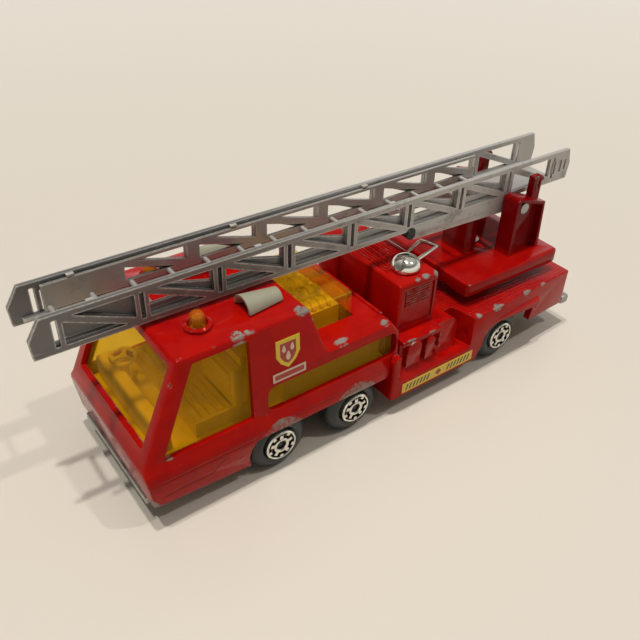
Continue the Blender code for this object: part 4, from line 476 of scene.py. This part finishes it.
def hub_plating(name, axle_x, axle_z, face_y, ring):
    """Plated hub with its sunk channel and its middle painted black."""
    metal = settings().metal
    finish = Finish(name)
    x, y, z = finish.axes()
    radius = finish.maths("SQRT", (x - axle_x / MM) ** 2 + (z - axle_z / MM) ** 2)
    sunk = finish.step(abs(y), face_y / MM - 0.16, face_y / MM - 0.24)
    black = sunk * finish.step(radius, ring / MM + 0.12, ring / MM)
    dull = finish.step(finish.noise(0.9, 4.0, 0.6), 0.4, 0.8)
    base = finish.mix(dull * 0.4, metal.chrome, tuple(part * 0.5 for part in metal.chrome))
    base = finish.mix(black, base, HUB_BLACK)
    shader = finish.principled(
        Base_Color=base,
        Metallic=1 - black,
        Roughness=0.20 + dull * 0.15 + black * 0.12,
        Normal=finish.bump(finish.noise(0.6, 2.0, 0.5, 8.0), 0.15, 0.00004),
    )
    return finish.end(shader)


def tyre_rubber(name, axle_x, axle_z):
    """Black moulded plastic tyre, dustier on the tread."""
    finish = Finish(name)
    x, _, z = finish.axes()
    radius = finish.maths("SQRT", (x - axle_x / MM) ** 2 + (z - axle_z / MM) ** 2)
    tread = finish.step(radius, 7.2, 7.75)
    dust = finish.step(finish.noise(1.8, 4.0, 0.65), 0.35, 0.8)
    dusty = dust * (0.25 + tread * 0.55)
    base = finish.mix(dusty * 0.25, settings().plastic.rubber, TREAD_DUST)
    shader = finish.principled(
        Base_Color=base,
        Roughness=0.42 + dusty * 0.3,
        Normal=finish.bump(finish.noise(0.35, 3.0, 0.6, 6.0), 0.25, 0.00005),
    )
    return finish.end(shader)


def amber_clear(name):
    """Clear amber plastic: light passes tinted, the surface keeps its gloss, and a painted highlight
    brightens its edges.
    """
    plastic = settings().plastic
    finish = Finish(name)
    smear = finish.step(finish.noise(3.5, 4.0, 0.6), 0.4, 0.8)
    scratch = finish.step(finish.noise(0.9, 4.0, 0.7, 4.0, (0.12, 1.0, 1.0)), 0.62, 0.72)
    dome = finish.step(finish.axes()[2], 42.3, 42.8)
    tint = finish.mix(smear * 0.4, AMBER_GLOSS, AMBER_SMEAR)
    gloss = finish.principled(
        Base_Color=finish.mix(dome, tint, BEACON_AMBER),
        Roughness=0.07 + smear * 0.12 + scratch * 0.15,
        Normal=finish.bump(finish.noise(4.0, 2.0, 0.5, 2.0), 0.25, 0.0001),
    )
    clear = finish.add("ShaderNodeBsdfTransparent", None, {"Color": as_rgba(plastic.amber)})
    # Painted highlight: the opaque amber share rises along the edges, drawing them as bright amber lines.
    share = 0.11 + smear * 0.08 + scratch * 0.06 + finish.near_edge(0.0007) * 0.5 + dome * 0.25
    return finish.end(finish.add("ShaderNodeMixShader", None, {0: share, 1: clear, 2: gloss}))


def moulded(name, tint, roughness, shade=0.6, painted_glow=0.0):
    """Moulded plastic with a slight mottle and painted shade in the corners; its emission is painted light,
    standing in for light that reaches it through the amber.
    """
    finish = Finish(name)
    mottle = finish.noise(3.0, 3.0, 0.5)
    base = finish.mix(mottle * 0.5, tint, tuple(part * shade for part in tint))
    # Painted shade: a much darker copy of the tint in the corners.
    grime_and_shade = finish.step(finish.crevice(0.0022), 0.40, 0.95)
    base = finish.mix(grime_and_shade * 0.75, base, tuple(part * 0.16 for part in tint))
    shader = finish.principled(
        Base_Color=base,
        Roughness=roughness + mottle * 0.1,
        # Painted light: emission in the surface's own colour, standing in for light that reaches it through
        # the amber.
        Emission_Color=base,
        Emission_Strength=painted_glow,
        Normal=finish.bump(finish.noise(0.6, 3.0, 0.6, 3.0), 0.2, 0.00005),
    )
    return finish.end(shader)


def printed(name, tint):
    """Printed label film, rubbed at its edges."""
    finish = Finish(name)
    rub = finish.step(finish.noise(0.7, 4.0, 0.7), 0.60, 0.72)
    base = finish.mix(rub * 0.5, tint, LABEL_RUB)
    shader = finish.principled(
        Base_Color=base,
        Roughness=0.34 + rub * 0.25,
        Normal=finish.bump(finish.noise(0.3, 2.0, 0.5), 0.1, 0.00003),
    )
    return finish.end(shader)


# ---- meshes ----------------------------------------------------------------------------------
def dress(obj, material, smooth=40.0):
    """Gives a piece one finish, and smooth shading below an angle in degrees."""
    obj.data.materials.clear()
    obj.data.materials.append(material)
    if smooth:
        obj.data.shade_smooth()
        obj.data.set_sharp_from_angle(angle=math.radians(smooth))
    return obj


def made(name, bm, material, body, smooth=40.0):
    """A new piece from a bmesh in the model's frame, riding on a body."""
    bmesh.ops.recalc_face_normals(bm, faces=bm.faces)
    mesh = bpy.data.meshes.new(name)
    bm.to_mesh(mesh)
    bm.free()
    obj = bpy.data.objects.new(name, mesh)
    bpy.context.scene.collection.objects.link(obj)
    dress(obj, material, smooth)
    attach(obj, body)
    return obj


def softened(node, material, body, width):
    """A copy of a solid with softly rounded edges, which stands for it."""
    source = frame["nodes"][node]
    bm = bmesh.new()
    bm.from_mesh(source.data)
    bmesh.ops.remove_doubles(bm, verts=bm.verts, dist=1e-6)
    bmesh.ops.dissolve_limit(
        bm,
        angle_limit=math.radians(1.0),
        use_dissolve_boundaries=False,
        verts=bm.verts,
        edges=bm.edges,
    )
    obj = made(node + "_soft", bm, material, body, 0)
    bevel = obj.modifiers.new("Soft edges", "BEVEL")
    bevel.width = width
    bevel.segments = 2
    bevel.limit_method = "ANGLE"
    bevel.angle_limit = math.radians(32)
    bevel.use_clamp_overlap = True
    bevel.harden_normals = False
    obj.data.shade_smooth()
    obj.data.set_sharp_from_angle(angle=math.radians(50))
    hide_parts(node)
    return obj


def spun(bm, profile, steps, axis="Y", centre=(0.0, 0.0, 0.0)):
    """A ring turned from a closed profile of (radius, height) points about an axis."""
    rings = []
    for step in range(steps):
        angle = 2 * math.pi * step / steps
        ring = []
        for radius, height in profile:
            across = radius * math.cos(angle)
            up = radius * math.sin(angle)
            point = (across, height, up) if axis == "Y" else (across, up, height)
            ring.append(bm.verts.new(Vector(centre) + Vector(point)))
        rings.append(ring)
    count = len(profile)
    for step in range(steps):
        here = rings[step]
        there = rings[(step + 1) % steps]
        for index in range(count):
            after = (index + 1) % count
            bm.faces.new((here[index], there[index], there[after], here[after]))


def rod(bm, start, end, radius, steps):
    """A capped round bar between two points."""
    start = Vector(start)
    way = Vector(end) - start
    turn = way.to_track_quat("Z", "Y").to_matrix()
    rings = []
    for place in (start, start + way):
        ring = []
        for step in range(steps):
            angle = 2 * math.pi * step / steps
            spoke = Vector((radius * math.cos(angle), radius * math.sin(angle), 0.0))
            ring.append(bm.verts.new(place + turn @ spoke))
        rings.append(ring)
        bm.faces.new(ring)
    for step in range(steps):
        after = (step + 1) % steps
        bm.faces.new((rings[0][step], rings[0][after], rings[1][after], rings[1][step]))


def body_of(node):
    """The moving body that a node belongs to."""
    for body, nodes in frame["record"]["behaviour"]["bodies"].items():
        if node in nodes:
            return body
    raise RuntimeError(f"{node} is on no body")


def label_plane(node):
    """The middle of a label's outer face, with its reading direction, upward and outward directions."""
    low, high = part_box(node)
    middle = (low + high) / 2
    sign = 1 if middle.y > 0 else -1
    obj = frame["nodes"][node]
    outward = [obj.matrix_world.to_3x3() @ face.normal for face in obj.data.polygons]
    out = max(zip(obj.data.polygons, outward), key=lambda pair: pair[0].area * (pair[1].y * sign > 0.5))[1]
    out = out.normalized()
    up = (Vector((0, 0, 1)) - out * out.z).normalized()
    corners = [obj.matrix_world @ vert.co for vert in obj.data.vertices]
    face = max(out.dot(corner) for corner in corners)
    middle = middle + out * (face - out.dot(middle))
    return middle, up.cross(out), up, out


def flat_shape(bm, plane, outline, lift, thick):
    """A thin plate on a plane from an outline in millimetres."""
    middle, along, up, out = plane
    low = []
    high = []
    for u, v in outline:
        spot = middle + along * (u * MM) + up * (v * MM) + out * (lift * MM)
        low.append(bm.verts.new(spot))
        high.append(bm.verts.new(spot + out * (thick * MM)))
    bm.faces.new(low)
    bm.faces.new(high)
    for index in range(len(outline)):
        after = (index + 1) % len(outline)
        bm.faces.new((low[index], low[after], high[after], high[index]))


def box_outline(low, high):
    """The four corners of a box between two points."""
    return [(low[0], low[1]), (high[0], low[1]), (high[0], high[1]), (low[0], high[1])]


# ---- operators -------------------------------------------------------------------------------
class PieceOperator(bpy.types.Operator):
    """Makes one group of pieces from the settings"""
    bl_options = {"REGISTER", "UNDO"}

    def execute(self, context):
        self.make(context.scene.fire_engine)
        return {"FINISHED"}


class FIREENGINE_OT_castings(PieceOperator):
    """Red enamelled castings of cab, rear body and turntable"""
    bl_idname = "fire_engine.castings"
    bl_label = "Castings"

    cab_chips = (
        ((40.0, 17.5, 41.9), 3.4, 1.25),
        ((36.8, 17.7, 41.7), 1.8, 1.0),
        ((45.6, 18.0, 41.4), 1.0, 0.9),
        ((53.2, 17.5, 41.6), 1.3, 1.1),
        ((55.8, 18.5, 36.6), 2.2, 0.7),
        ((53.6, 18.3, 39.8), 1.4, 0.8),
        ((58.6, 19.4, 18.6), 1.3, 0.7),
        ((23.8, 17.5, 41.8), 3.2, 1.25),
        ((21.0, 18.0, 38.9), 1.6, 0.9),
        ((12.8, 18.8, 29.2), 3.0, 0.9),
        ((-0.6, 18.4, 28.9), 2.0, 1.2),
        ((64.7, 18.8, 15.6), 3.0, 0.7),
        ((64.9, 13.0, 7.4), 4.2, 1.3),
        ((64.9, 5.0, 7.2), 4.0, 1.1),
        ((64.9, 0.5, 16.0), 3.0, 0.8),
        ((64.0, 19.6, 7.6), 3.2, 1.35),
        ((52.0, 20.2, 5.0), 4.0, 0.4),
        ((41.0, 20.4, 12.0), 9.0, -0.34),
        ((20.0, 20.9, 12.0), 9.0, -0.34),
        ((39.6, 20.6, 11.4), 1.2, 1.0),
        ((34.5, 19.8, 18.4), 0.9, 0.8),
    )
    rear_chips = (
        ((-12.0, 16.3, 36.1), 1.5, 1.1),
        ((-14.8, 16.3, 36.1), 2.0, 1.2),
        ((-18.4, 16.5, 35.8), 1.9, 1.2),
        ((-8.0, 20.6, 21.4), 2.2, 0.8),
        ((-15.0, 20.6, 21.2), 1.4, 0.7),
        ((-31.4, 21.4, 20.2), 1.7, 1.25),
        ((-38.8, 21.6, 20.3), 3.2, 1.25),
        ((-51.0, 21.6, 20.3), 2.4, 1.2),
        ((-58.0, 21.4, 20.2), 1.8, 1.2),
        ((-69.6, 20.4, 18.0), 2.4, 0.7),
        ((-30.6, 22.0, 9.6), 2.0, 0.7),
        ((-5.0, 21.0, 18.0), 1.6, 0.6),
    )
    table_chips = (
        ((-31.0, 17.4, 27.3), 1.2, 0.8),
        ((-66.0, 17.4, 27.3), 1.4, 0.7),
        ((-50.6, 12.0, 44.6), 1.3, 0.7),
    )

    def make(self, chosen):
        plans = (
            ("cab_casting", self.cab_chips, cab_relief, None),
            ("rear_casting", self.rear_chips, rear_relief, None),
            ("turntable", self.table_chips, None, upright_painted_shade),
        )
        for node, chips, relief, depth in plans:
            enamel = red_enamel(node + "_enamel", chips, relief, depth)
            softened(node, enamel, body_of(node), chosen.paint.edge)
        self.beacon_rings(red_enamel("beacon_ring_enamel"))

    def beacon_rings(self, enamel):
        """A raised red ring round the foot of each beacon."""
        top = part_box("cab_casting")[1].z
        inner = RING[0] * MM
        outer = RING[1] * MM
        profile = [
            (inner, -0.0002),
            (inner, 0.0006),
            (inner + 0.0003, 0.0008),
            (outer - 0.0005, 0.0007),
            (outer, 0.0003),
            (outer, -0.0002),
        ]
        for side, sign in SIDES:
            bm = bmesh.new()
            spun(bm, profile, 40, "Z", (BEACON[0] * MM, sign * BEACON[1] * MM, top))
            made("beacon_ring_" + side, bm, enamel, body_of("cab_casting"))


class FIREENGINE_OT_base(PieceOperator):
    """Bare metal base plate, rivets, pin and axles"""
    bl_idname = "fire_engine.base"
    bl_label = "Base plate"

    def make(self, chosen):
        zinc = bare_zinc("base_zinc", tuple(chosen.metal.zinc))
        softened("base_plate", zinc, body_of("base_plate"), chosen.paint.edge)
        steel = bare_zinc("rivet_steel", RIVET_STEEL)
        names = ["base_rivet_front", "base_rivet_middle", "base_rivet_tail", "turntable_rivet", "ladder_pin"]
        for node in names + [place + "_axle" for place in AXLES]:
            dress(frame["nodes"][node], steel)


class FIREENGINE_OT_glazing(PieceOperator):
    """Clear amber moulding with its beacons and engine cover"""
    bl_idname = "fire_engine.glazing"
    bl_label = "Amber glazing"

    def make(self, chosen):
        softened("amber_glazing", amber_clear("amber_clear"), body_of("amber_glazing"), chosen.paint.edge)


class FIREENGINE_OT_interior(PieceOperator):
    """Yellow interior moulding"""
    bl_idname = "fire_engine.interior"
    bl_label = "Interior"

    def make(self, chosen):
        # The yellow moulding is given faint emission as painted light.
        yellow = moulded("yellow_moulding", tuple(chosen.plastic.yellow), 0.35, 0.6, 0.05)
        softened("interior", yellow, body_of("interior"), chosen.paint.edge)
        self.engine(yellow)
        self.beacon_cores()

    def engine(self, yellow):
        """Collars on the pump engine's pipes and small caps between them, under the amber cover."""
        bm = bmesh.new()
        for row in range(4):
            y = (-7.4 + row * 4.95) * MM
            for step in range(5):
                x = (8.6 + step * 2.2 + (row % 2) * 0.7) * MM
                rod(bm, (x, y, 32.5 * MM), (x + 0.9 * MM, y, 32.5 * MM), 2.1 * MM, 16)
        for row in range(3):
            for step in range(4):
                x = (9.4 + step * 2.6) * MM
                y = (-4.95 + row * 4.95 + (step % 2 - 0.5) * 1.4) * MM
                rod(bm, (x, y, 31.5 * MM), (x, y, 34.6 * MM), 0.75 * MM, 12)
        made("engine_fittings", bm, yellow, body_of("interior"), 35.0)

    def beacon_cores(self):
        """The moulded post inside each beacon, on its wider foot."""
        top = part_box("amber_glazing")[1].z
        # The beacon cores are given emission as painted light.
        orange = moulded("beacon_core", BEACON_ORANGE, 0.3, 0.7, 0.15)
        for side, sign in SIDES:
            bm = bmesh.new()
            x, y = BEACON[0] * MM, sign * BEACON[1] * MM
            rod(bm, (x, y, top - 5.0 * MM), (x, y, top - 1.6 * MM), 1.05 * MM, 20)
            rod(bm, (x, y, top - 5.2 * MM), (x, y, top - 4.5 * MM), 1.95 * MM, 24)
            made("beacon_core_" + side, bm, orange, body_of("amber_glazing"), 35.0)


class FIREENGINE_OT_roof_fittings(PieceOperator):
    """Cream horns and the plated searchlight"""
    bl_idname = "fire_engine.roof_fittings"
    bl_label = "Horns and searchlight"

    def make(self, chosen):
        cream = moulded("horn_cream", tuple(chosen.plastic.cream), 0.4, 0.75)
        for side, _ in SIDES:
            softened("horn_" + side, cream, body_of("horn_" + side), chosen.paint.edge)
        softened("searchlight", bright_plating("lamp_plating"), body_of("searchlight"), chosen.paint.edge / 2)


class FIREENGINE_OT_ladders(PieceOperator):
    """Both silver ladders"""
    bl_idname = "fire_engine.ladders"
    bl_label = "Ladders"

    def make(self, chosen):
        low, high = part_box("base_ladder")
        for node in ("base_ladder", "extension_ladder"):
            lug = LUG if node == "base_ladder" else None
            silver = worn_silver(node + "_silver", high.x / MM, low.x / MM, lug)
            softened(node, silver, body_of(node), chosen.paint.edge * 0.7)


class FIREENGINE_OT_wheels(PieceOperator):
    """Round tyres and plated hubs"""
    bl_idname = "fire_engine.wheels"
    bl_label = "Wheels"

    def make(self, chosen):
        for place in AXLES:
            low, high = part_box(place + "_axle")
            x = (low.x + high.x) / 2
            z = (low.z + high.z) / 2
            rubber = tyre_rubber(place + "_rubber", x, z)
            for side, sign in SIDES:
                self.tyre(f"{place}_tyre_{side}", x, z, sign, rubber)
                self.hub(f"{place}_hub_{side}", x, z, sign)

    def tyre(self, node, x, z, sign, rubber):
        low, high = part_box(node)
        outer = max(abs(low.y), abs(high.y))
        inner = min(abs(low.y), abs(high.y))
        radius = (high.z - low.z) / 2
        hub_low, hub_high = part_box(node.replace("tyre", "hub"))
        bore = (hub_high.z - hub_low.z) / 2 + TYRE_GAP
        wall = radius - bore
        shoulder = TYRE_SHOULDER
        profile = [
            (bore, outer - 0.0008),
            (bore + wall * 0.10, outer - 0.00045),
            (bore + wall * 0.20, outer - 0.00012),
            (bore + wall * 0.34, outer),
            (bore + wall * 0.50, outer - shoulder * 0.12),
            (bore + wall * 0.68, outer - shoulder * 0.30),
            (bore + wall * 0.84, outer - shoulder * 0.52),
            (bore + wall * 0.95, outer - shoulder * 0.78),
            (radius, outer - shoulder * 1.05),
            (radius, inner + shoulder * 0.6),
            (radius - shoulder * 0.1, inner + shoulder * 0.2),
            (radius - shoulder * 0.35, inner),
            (bore, inner),
        ]
        bm = bmesh.new()
        spun(bm, [(r, sign * y) for r, y in profile], WHEEL_STEPS, centre=(x, 0.0, z))
        tyre = made(node + "_round", bm, rubber, body_of(node), 50.0)
        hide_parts(node)

    def hub(self, node, x, z, sign):
        low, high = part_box(node)
        face = max(abs(low.y), abs(high.y))
        inner = min(abs(low.y), abs(high.y))
        rim = (high.z - low.z) / 2
        ring = rim - HUB_RING
        plating = hub_plating(node + "_plating", x, z, face, ring)
        sunk = face - HUB_SINK
        centre = HUB_CENTRE
        lip = HUB_LIP
        bm = bmesh.new()
        spun(bm, [(r, sign * y) for r, y in (
            (ring, sunk - 0.0004),
            (ring, face - lip),
            (ring + lip, face),
            (rim - lip * 2, face),
            (rim, face - lip * 2),
            (rim, inner),
            (rim - 0.0008, inner),
            (rim - 0.0008, sunk - 0.0004),
        )], WHEEL_STEPS, centre=(x, 0.0, z))
        spun(bm, [(r, sign * y) for r, y in (
            (HUB_BORE, sunk - 0.0006),
            (HUB_BORE, face - 0.0004),
            (HUB_LAND, face - lip),
            (HUB_LAND + lip, face),
            (centre - lip, face),
            (centre, face - lip),
            (centre, sunk - 0.0006),
        )], WHEEL_STEPS, centre=(x, 0.0, z))
        spun(bm, [(r, sign * y) for r, y in (
            (0.0001, sunk - 0.0008),
            (0.0001, sunk + 0.0002),
            (0.00050, sunk + 0.0002),
            (0.00062, sunk),
            (ring + 0.0001, sunk),
            (ring + 0.0001, sunk - 0.0008),
        )], WHEEL_STEPS, centre=(x, 0.0, z))
        channel = (centre + ring) / 2
        top = (x, sign * (face - 0.0001), z)
        for index in range(HUB_TEETH):
            angle = 2 * math.pi * (index + 0.25) / HUB_TEETH
            self.tooth(bm, angle, top, centre - 0.0002, channel + 0.00025, sunk, sign)
            angle += math.pi / HUB_TEETH
            self.tooth(bm, angle, top, channel + 0.00005, ring + 0.0002, sunk, sign)
        hub = made(node + "_bright", bm, plating, body_of(node), 40.0)
        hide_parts(node)

    def tooth(self, bm, angle, top, start, end, sunk, sign):
        """A block of the hub's face between two radii, narrower on top than at its foot."""
        along = Vector((math.cos(angle), 0.0, math.sin(angle)))
        across = Vector((-math.sin(angle), 0.0, math.cos(angle)))
        middle = Vector((top[0], 0.0, top[2]))
        corners = []
        for y, half in ((sign * sunk - sign * 0.0002, 0.00058), (top[1], 0.00045)):
            for run, side in ((start, -1), (end, -1), (end, 1), (start, 1)):
                point = middle + along * run + across * (half * side) + Vector((0.0, y, 0.0))
                corners.append(bm.verts.new(point))
        low, high = corners[:4], corners[4:]
        bm.faces.new(low)
        bm.faces.new(high)
        for index in range(4):
            after = (index + 1) % 4
            bm.faces.new((low[index], low[after], high[after], high[index]))


class FIREENGINE_OT_labels(PieceOperator):
    """Plain labels: a crest over a bare plate on each cab side and a striped strip on each rear side"""
    bl_idname = "fire_engine.labels"
    bl_label = "Labels"

    def make(self, chosen):
        plastic = chosen.plastic
        yellow = printed("label_yellow", tuple(plastic.label))
        red = printed("label_red", tuple(plastic.crest))
        ink = printed("label_ink", tuple(plastic.ink))
        pale = printed("label_pale", LABEL_PALE)
        for side, _ in SIDES:
            for node in ("emblem_" + side, "strip_" + side):
                dress(frame["nodes"][node], yellow, 0)
            self.crest("emblem_" + side, red, pale)
            self.plate("emblem_" + side, red, pale)
            self.stripes("strip_" + side, ink, red)

    def layer(self, name, node, plane, outlines, lift, material):
        """Thin printed shapes on a label's face."""
        bm = bmesh.new()
        for outline in outlines:
            flat_shape(bm, plane, outline, lift, 0.02)
        made(name, bm, material, body_of(node), 0)

    def crest(self, node, red, pale):
        """A red field inside the label's yellow border, with three plain drops on it."""
        plane = label_plane(node)
        field = [(-2.1, 2.9), (-2.1, -0.4), (-1.2, -1.9), (0.0, -2.7), (1.2, -1.9), (2.1, -0.4), (2.1, 2.9)]
        self.layer(node + "_field", node, plane, [field], 0.005, red)
        drops = []
        for middle, foot, size in ((0.0, -1.9, 1.0), (-1.1, 0.4, 0.8), (1.1, 0.4, 0.8)):
            shape = []
            for step in range(14):
                angle = 2 * math.pi * step / 14
                rise = 1.3 * math.sin(angle) * (1.0 + 0.5 * (math.sin(angle) > 0))
                taper = 1.0 - 0.45 * max(0.0, math.sin(angle))
                u = middle + size * 0.62 * math.cos(angle) * taper
                shape.append((u, foot + size * (1.0 + rise * 0.75)))
            drops.append(shape)
        self.layer(node + "_drops", node, plane, drops, 0.026, pale)

    def plate(self, node, red, pale):
        """A bare name bar with a pale border under the crest."""
        middle, along, up, out = label_plane(node)
        lower = (middle - up * 5.6 * MM + along * 0.2 * MM, along, up, out)
        self.layer(node + "_bar", node, lower, [box_outline((-4.4, -1.15), (4.4, 1.15))], 0.005, pale)
        self.layer(node + "_bar_field", node, lower, [box_outline((-3.9, -0.65), (3.9, 0.65))], 0.026, red)

    def stripes(self, node, ink, red):
        """Slanting dark bars either side of a plain red square."""
        plane = label_plane(node)
        bars = []
        for side in (-1, 1):
            for index in range(7):
                u = side * (3.6 + index * 1.25)
                bars.append([(u - 0.55, -0.95), (u - 0.05, -0.95), (u + 0.55, 0.95), (u + 0.05, 0.95)])
        self.layer(node + "_bars", node, plane, bars, 0.005, ink)
        square = [(-1.1, 0.0), (0.0, -1.1), (1.1, 0.0), (0.0, 1.1)]
        self.layer(node + "_square", node, plane, [square], 0.005, red)


class FIREENGINE_OT_stage(PieceOperator):
    """Pale floor, soft lamps and the camera"""
    bl_idname = "fire_engine.stage"
    bl_label = "Studio"

    def make(self, chosen):
        stage = chosen.stage
        self.floor(stage)
        for name, lean in LAMP_LEANS.items():
            self.lamp(name, lean, LAMP_SIZES[name], getattr(stage, name))
        world = bpy.data.worlds.new("studio")
        bpy.context.scene.world = world
        world.use_nodes = True
        self.air(world, stage)
        self.camera()
        view = bpy.context.scene.view_settings
        view.view_transform = "Standard"

    def seen(self, finish):
        """1 for rays seen directly, in a reflection or through clear plastic, 0 for the rest."""
        seen = finish.add("ShaderNodeLightPath", output="Is Camera Ray")
        for ray in ("Is Glossy Ray", "Is Transmission Ray"):
            seen = finish.maths("MAXIMUM", seen, finish.add("ShaderNodeLightPath", output=ray))
        return seen

    def air(self, world, stage):
        """Faint light from all round; seen directly or in a polished surface it is paler low down."""
        finish = Finish("air", world)
        way = finish.add("ShaderNodeTexCoord", output="Generated")
        split = finish.add("ShaderNodeSeparateXYZ", None, {0: way}, 2)
        low = 1 - finish.step(split, 0.05, 0.62)
        power = stage.sky + self.seen(finish) * (low * stage.band + 0.06)
        sockets = {"Color": as_rgba(AIR_COLOUR), "Strength": power}
        shader = finish.add("ShaderNodeBackground", None, sockets)
        finish.add("ShaderNodeOutputWorld", None, {"Surface": shader})

    def floor(self, stage):
        bm = bmesh.new()
        bmesh.ops.create_grid(bm, x_segments=1, y_segments=1, size=FLOOR_HALF)
        mesh = bpy.data.meshes.new("floor")
        bm.to_mesh(mesh)
        bm.free()
        floor = bpy.data.objects.new("floor", mesh)
        bpy.context.scene.collection.objects.link(floor)
        finish = Finish("floor_pale")
        given = tuple(part * FLOOR_GIVEN for part in stage.floor)
        pale = finish.mix(self.seen(finish), given, tuple(stage.floor))
        shader = finish.principled(Base_Color=pale, Roughness=0.22)
        dress(floor, finish.end(shader), 0)

    def lamp(self, name, lean, size, power):
        """A round lamp that leans ahead and to the left of the model by shares of its height."""
        way = Vector((lean[0], lean[1], 1.0)).normalized()
        data = bpy.data.lights.new(name, "AREA")
        data.shape = "DISK"
        data.size = size
        data.energy = power
        data.color = LAMP_COLOUR
        lamp = bpy.data.objects.new(name, data)
        lamp.location = way * LAMP_FAR
        lamp.rotation_euler = (-way).to_track_quat("-Z", "Y").to_euler()
        bpy.context.scene.collection.objects.link(lamp)

    def camera(self):
        data = bpy.data.cameras.new("camera")
        data.sensor_width = 36.0
        data.lens = CAMERA_LENS
        data.clip_start = 0.01
        data.clip_end = 10.0
        camera = bpy.data.objects.new("camera", data)
        yaw, pitch, roll = (math.radians(angle) for angle in CAMERA_TURN)
        ahead = Vector((math.cos(pitch) * math.cos(yaw), math.cos(pitch) * math.sin(yaw), math.sin(pitch)))
        level = ahead.cross(Vector((0, 0, 1))).normalized()
        above = level.cross(ahead)
        right = level * math.cos(roll) + above * math.sin(roll)
        up = above * math.cos(roll) - level * math.sin(roll)
        turn = Matrix((right, up, -ahead)).transposed().to_4x4()
        camera.matrix_world = Matrix.Translation(CAMERA_PLACE) @ turn
        bpy.context.scene.collection.objects.link(camera)
        bpy.context.scene.camera = camera


class FIREENGINE_PT_panel(bpy.types.Panel):
    bl_label = "Fire engine"
    bl_idname = "FIREENGINE_PT_panel"
    bl_space_type = "VIEW_3D"
    bl_region_type = "UI"
    bl_category = "Fire engine"

    def draw(self, context):
        chosen = context.scene.fire_engine
        for group in (chosen.paint, chosen.metal, chosen.plastic, chosen.stage):
            box = self.layout.box()
            for key in group.__annotations__:
                box.prop(group, key)
        for operator in OPERATORS:
            self.layout.operator(operator.bl_idname)


GROUPS = (EnginePaint, EngineMetal, EnginePlastic, EngineStage, EngineSettings)
OPERATORS = (
    FIREENGINE_OT_castings,
    FIREENGINE_OT_base,
    FIREENGINE_OT_interior,
    FIREENGINE_OT_glazing,
    FIREENGINE_OT_roof_fittings,
    FIREENGINE_OT_ladders,
    FIREENGINE_OT_wheels,
    FIREENGINE_OT_labels,
    FIREENGINE_OT_stage,
)


def register():
    for part in (*GROUPS, *OPERATORS, FIREENGINE_PT_panel):
        bpy.utils.register_class(part)
    bpy.types.Scene.fire_engine = PointerProperty(type=EngineSettings)


def unregister():
    del bpy.types.Scene.fire_engine
    for part in reversed((*GROUPS, *OPERATORS, FIREENGINE_PT_panel)):
        bpy.utils.unregister_class(part)


def main():
    register()
    for operator in OPERATORS:
        group, name = operator.bl_idname.split(".")
        getattr(getattr(bpy.ops, group), name)()


if __name__ == "__main__":
    main()
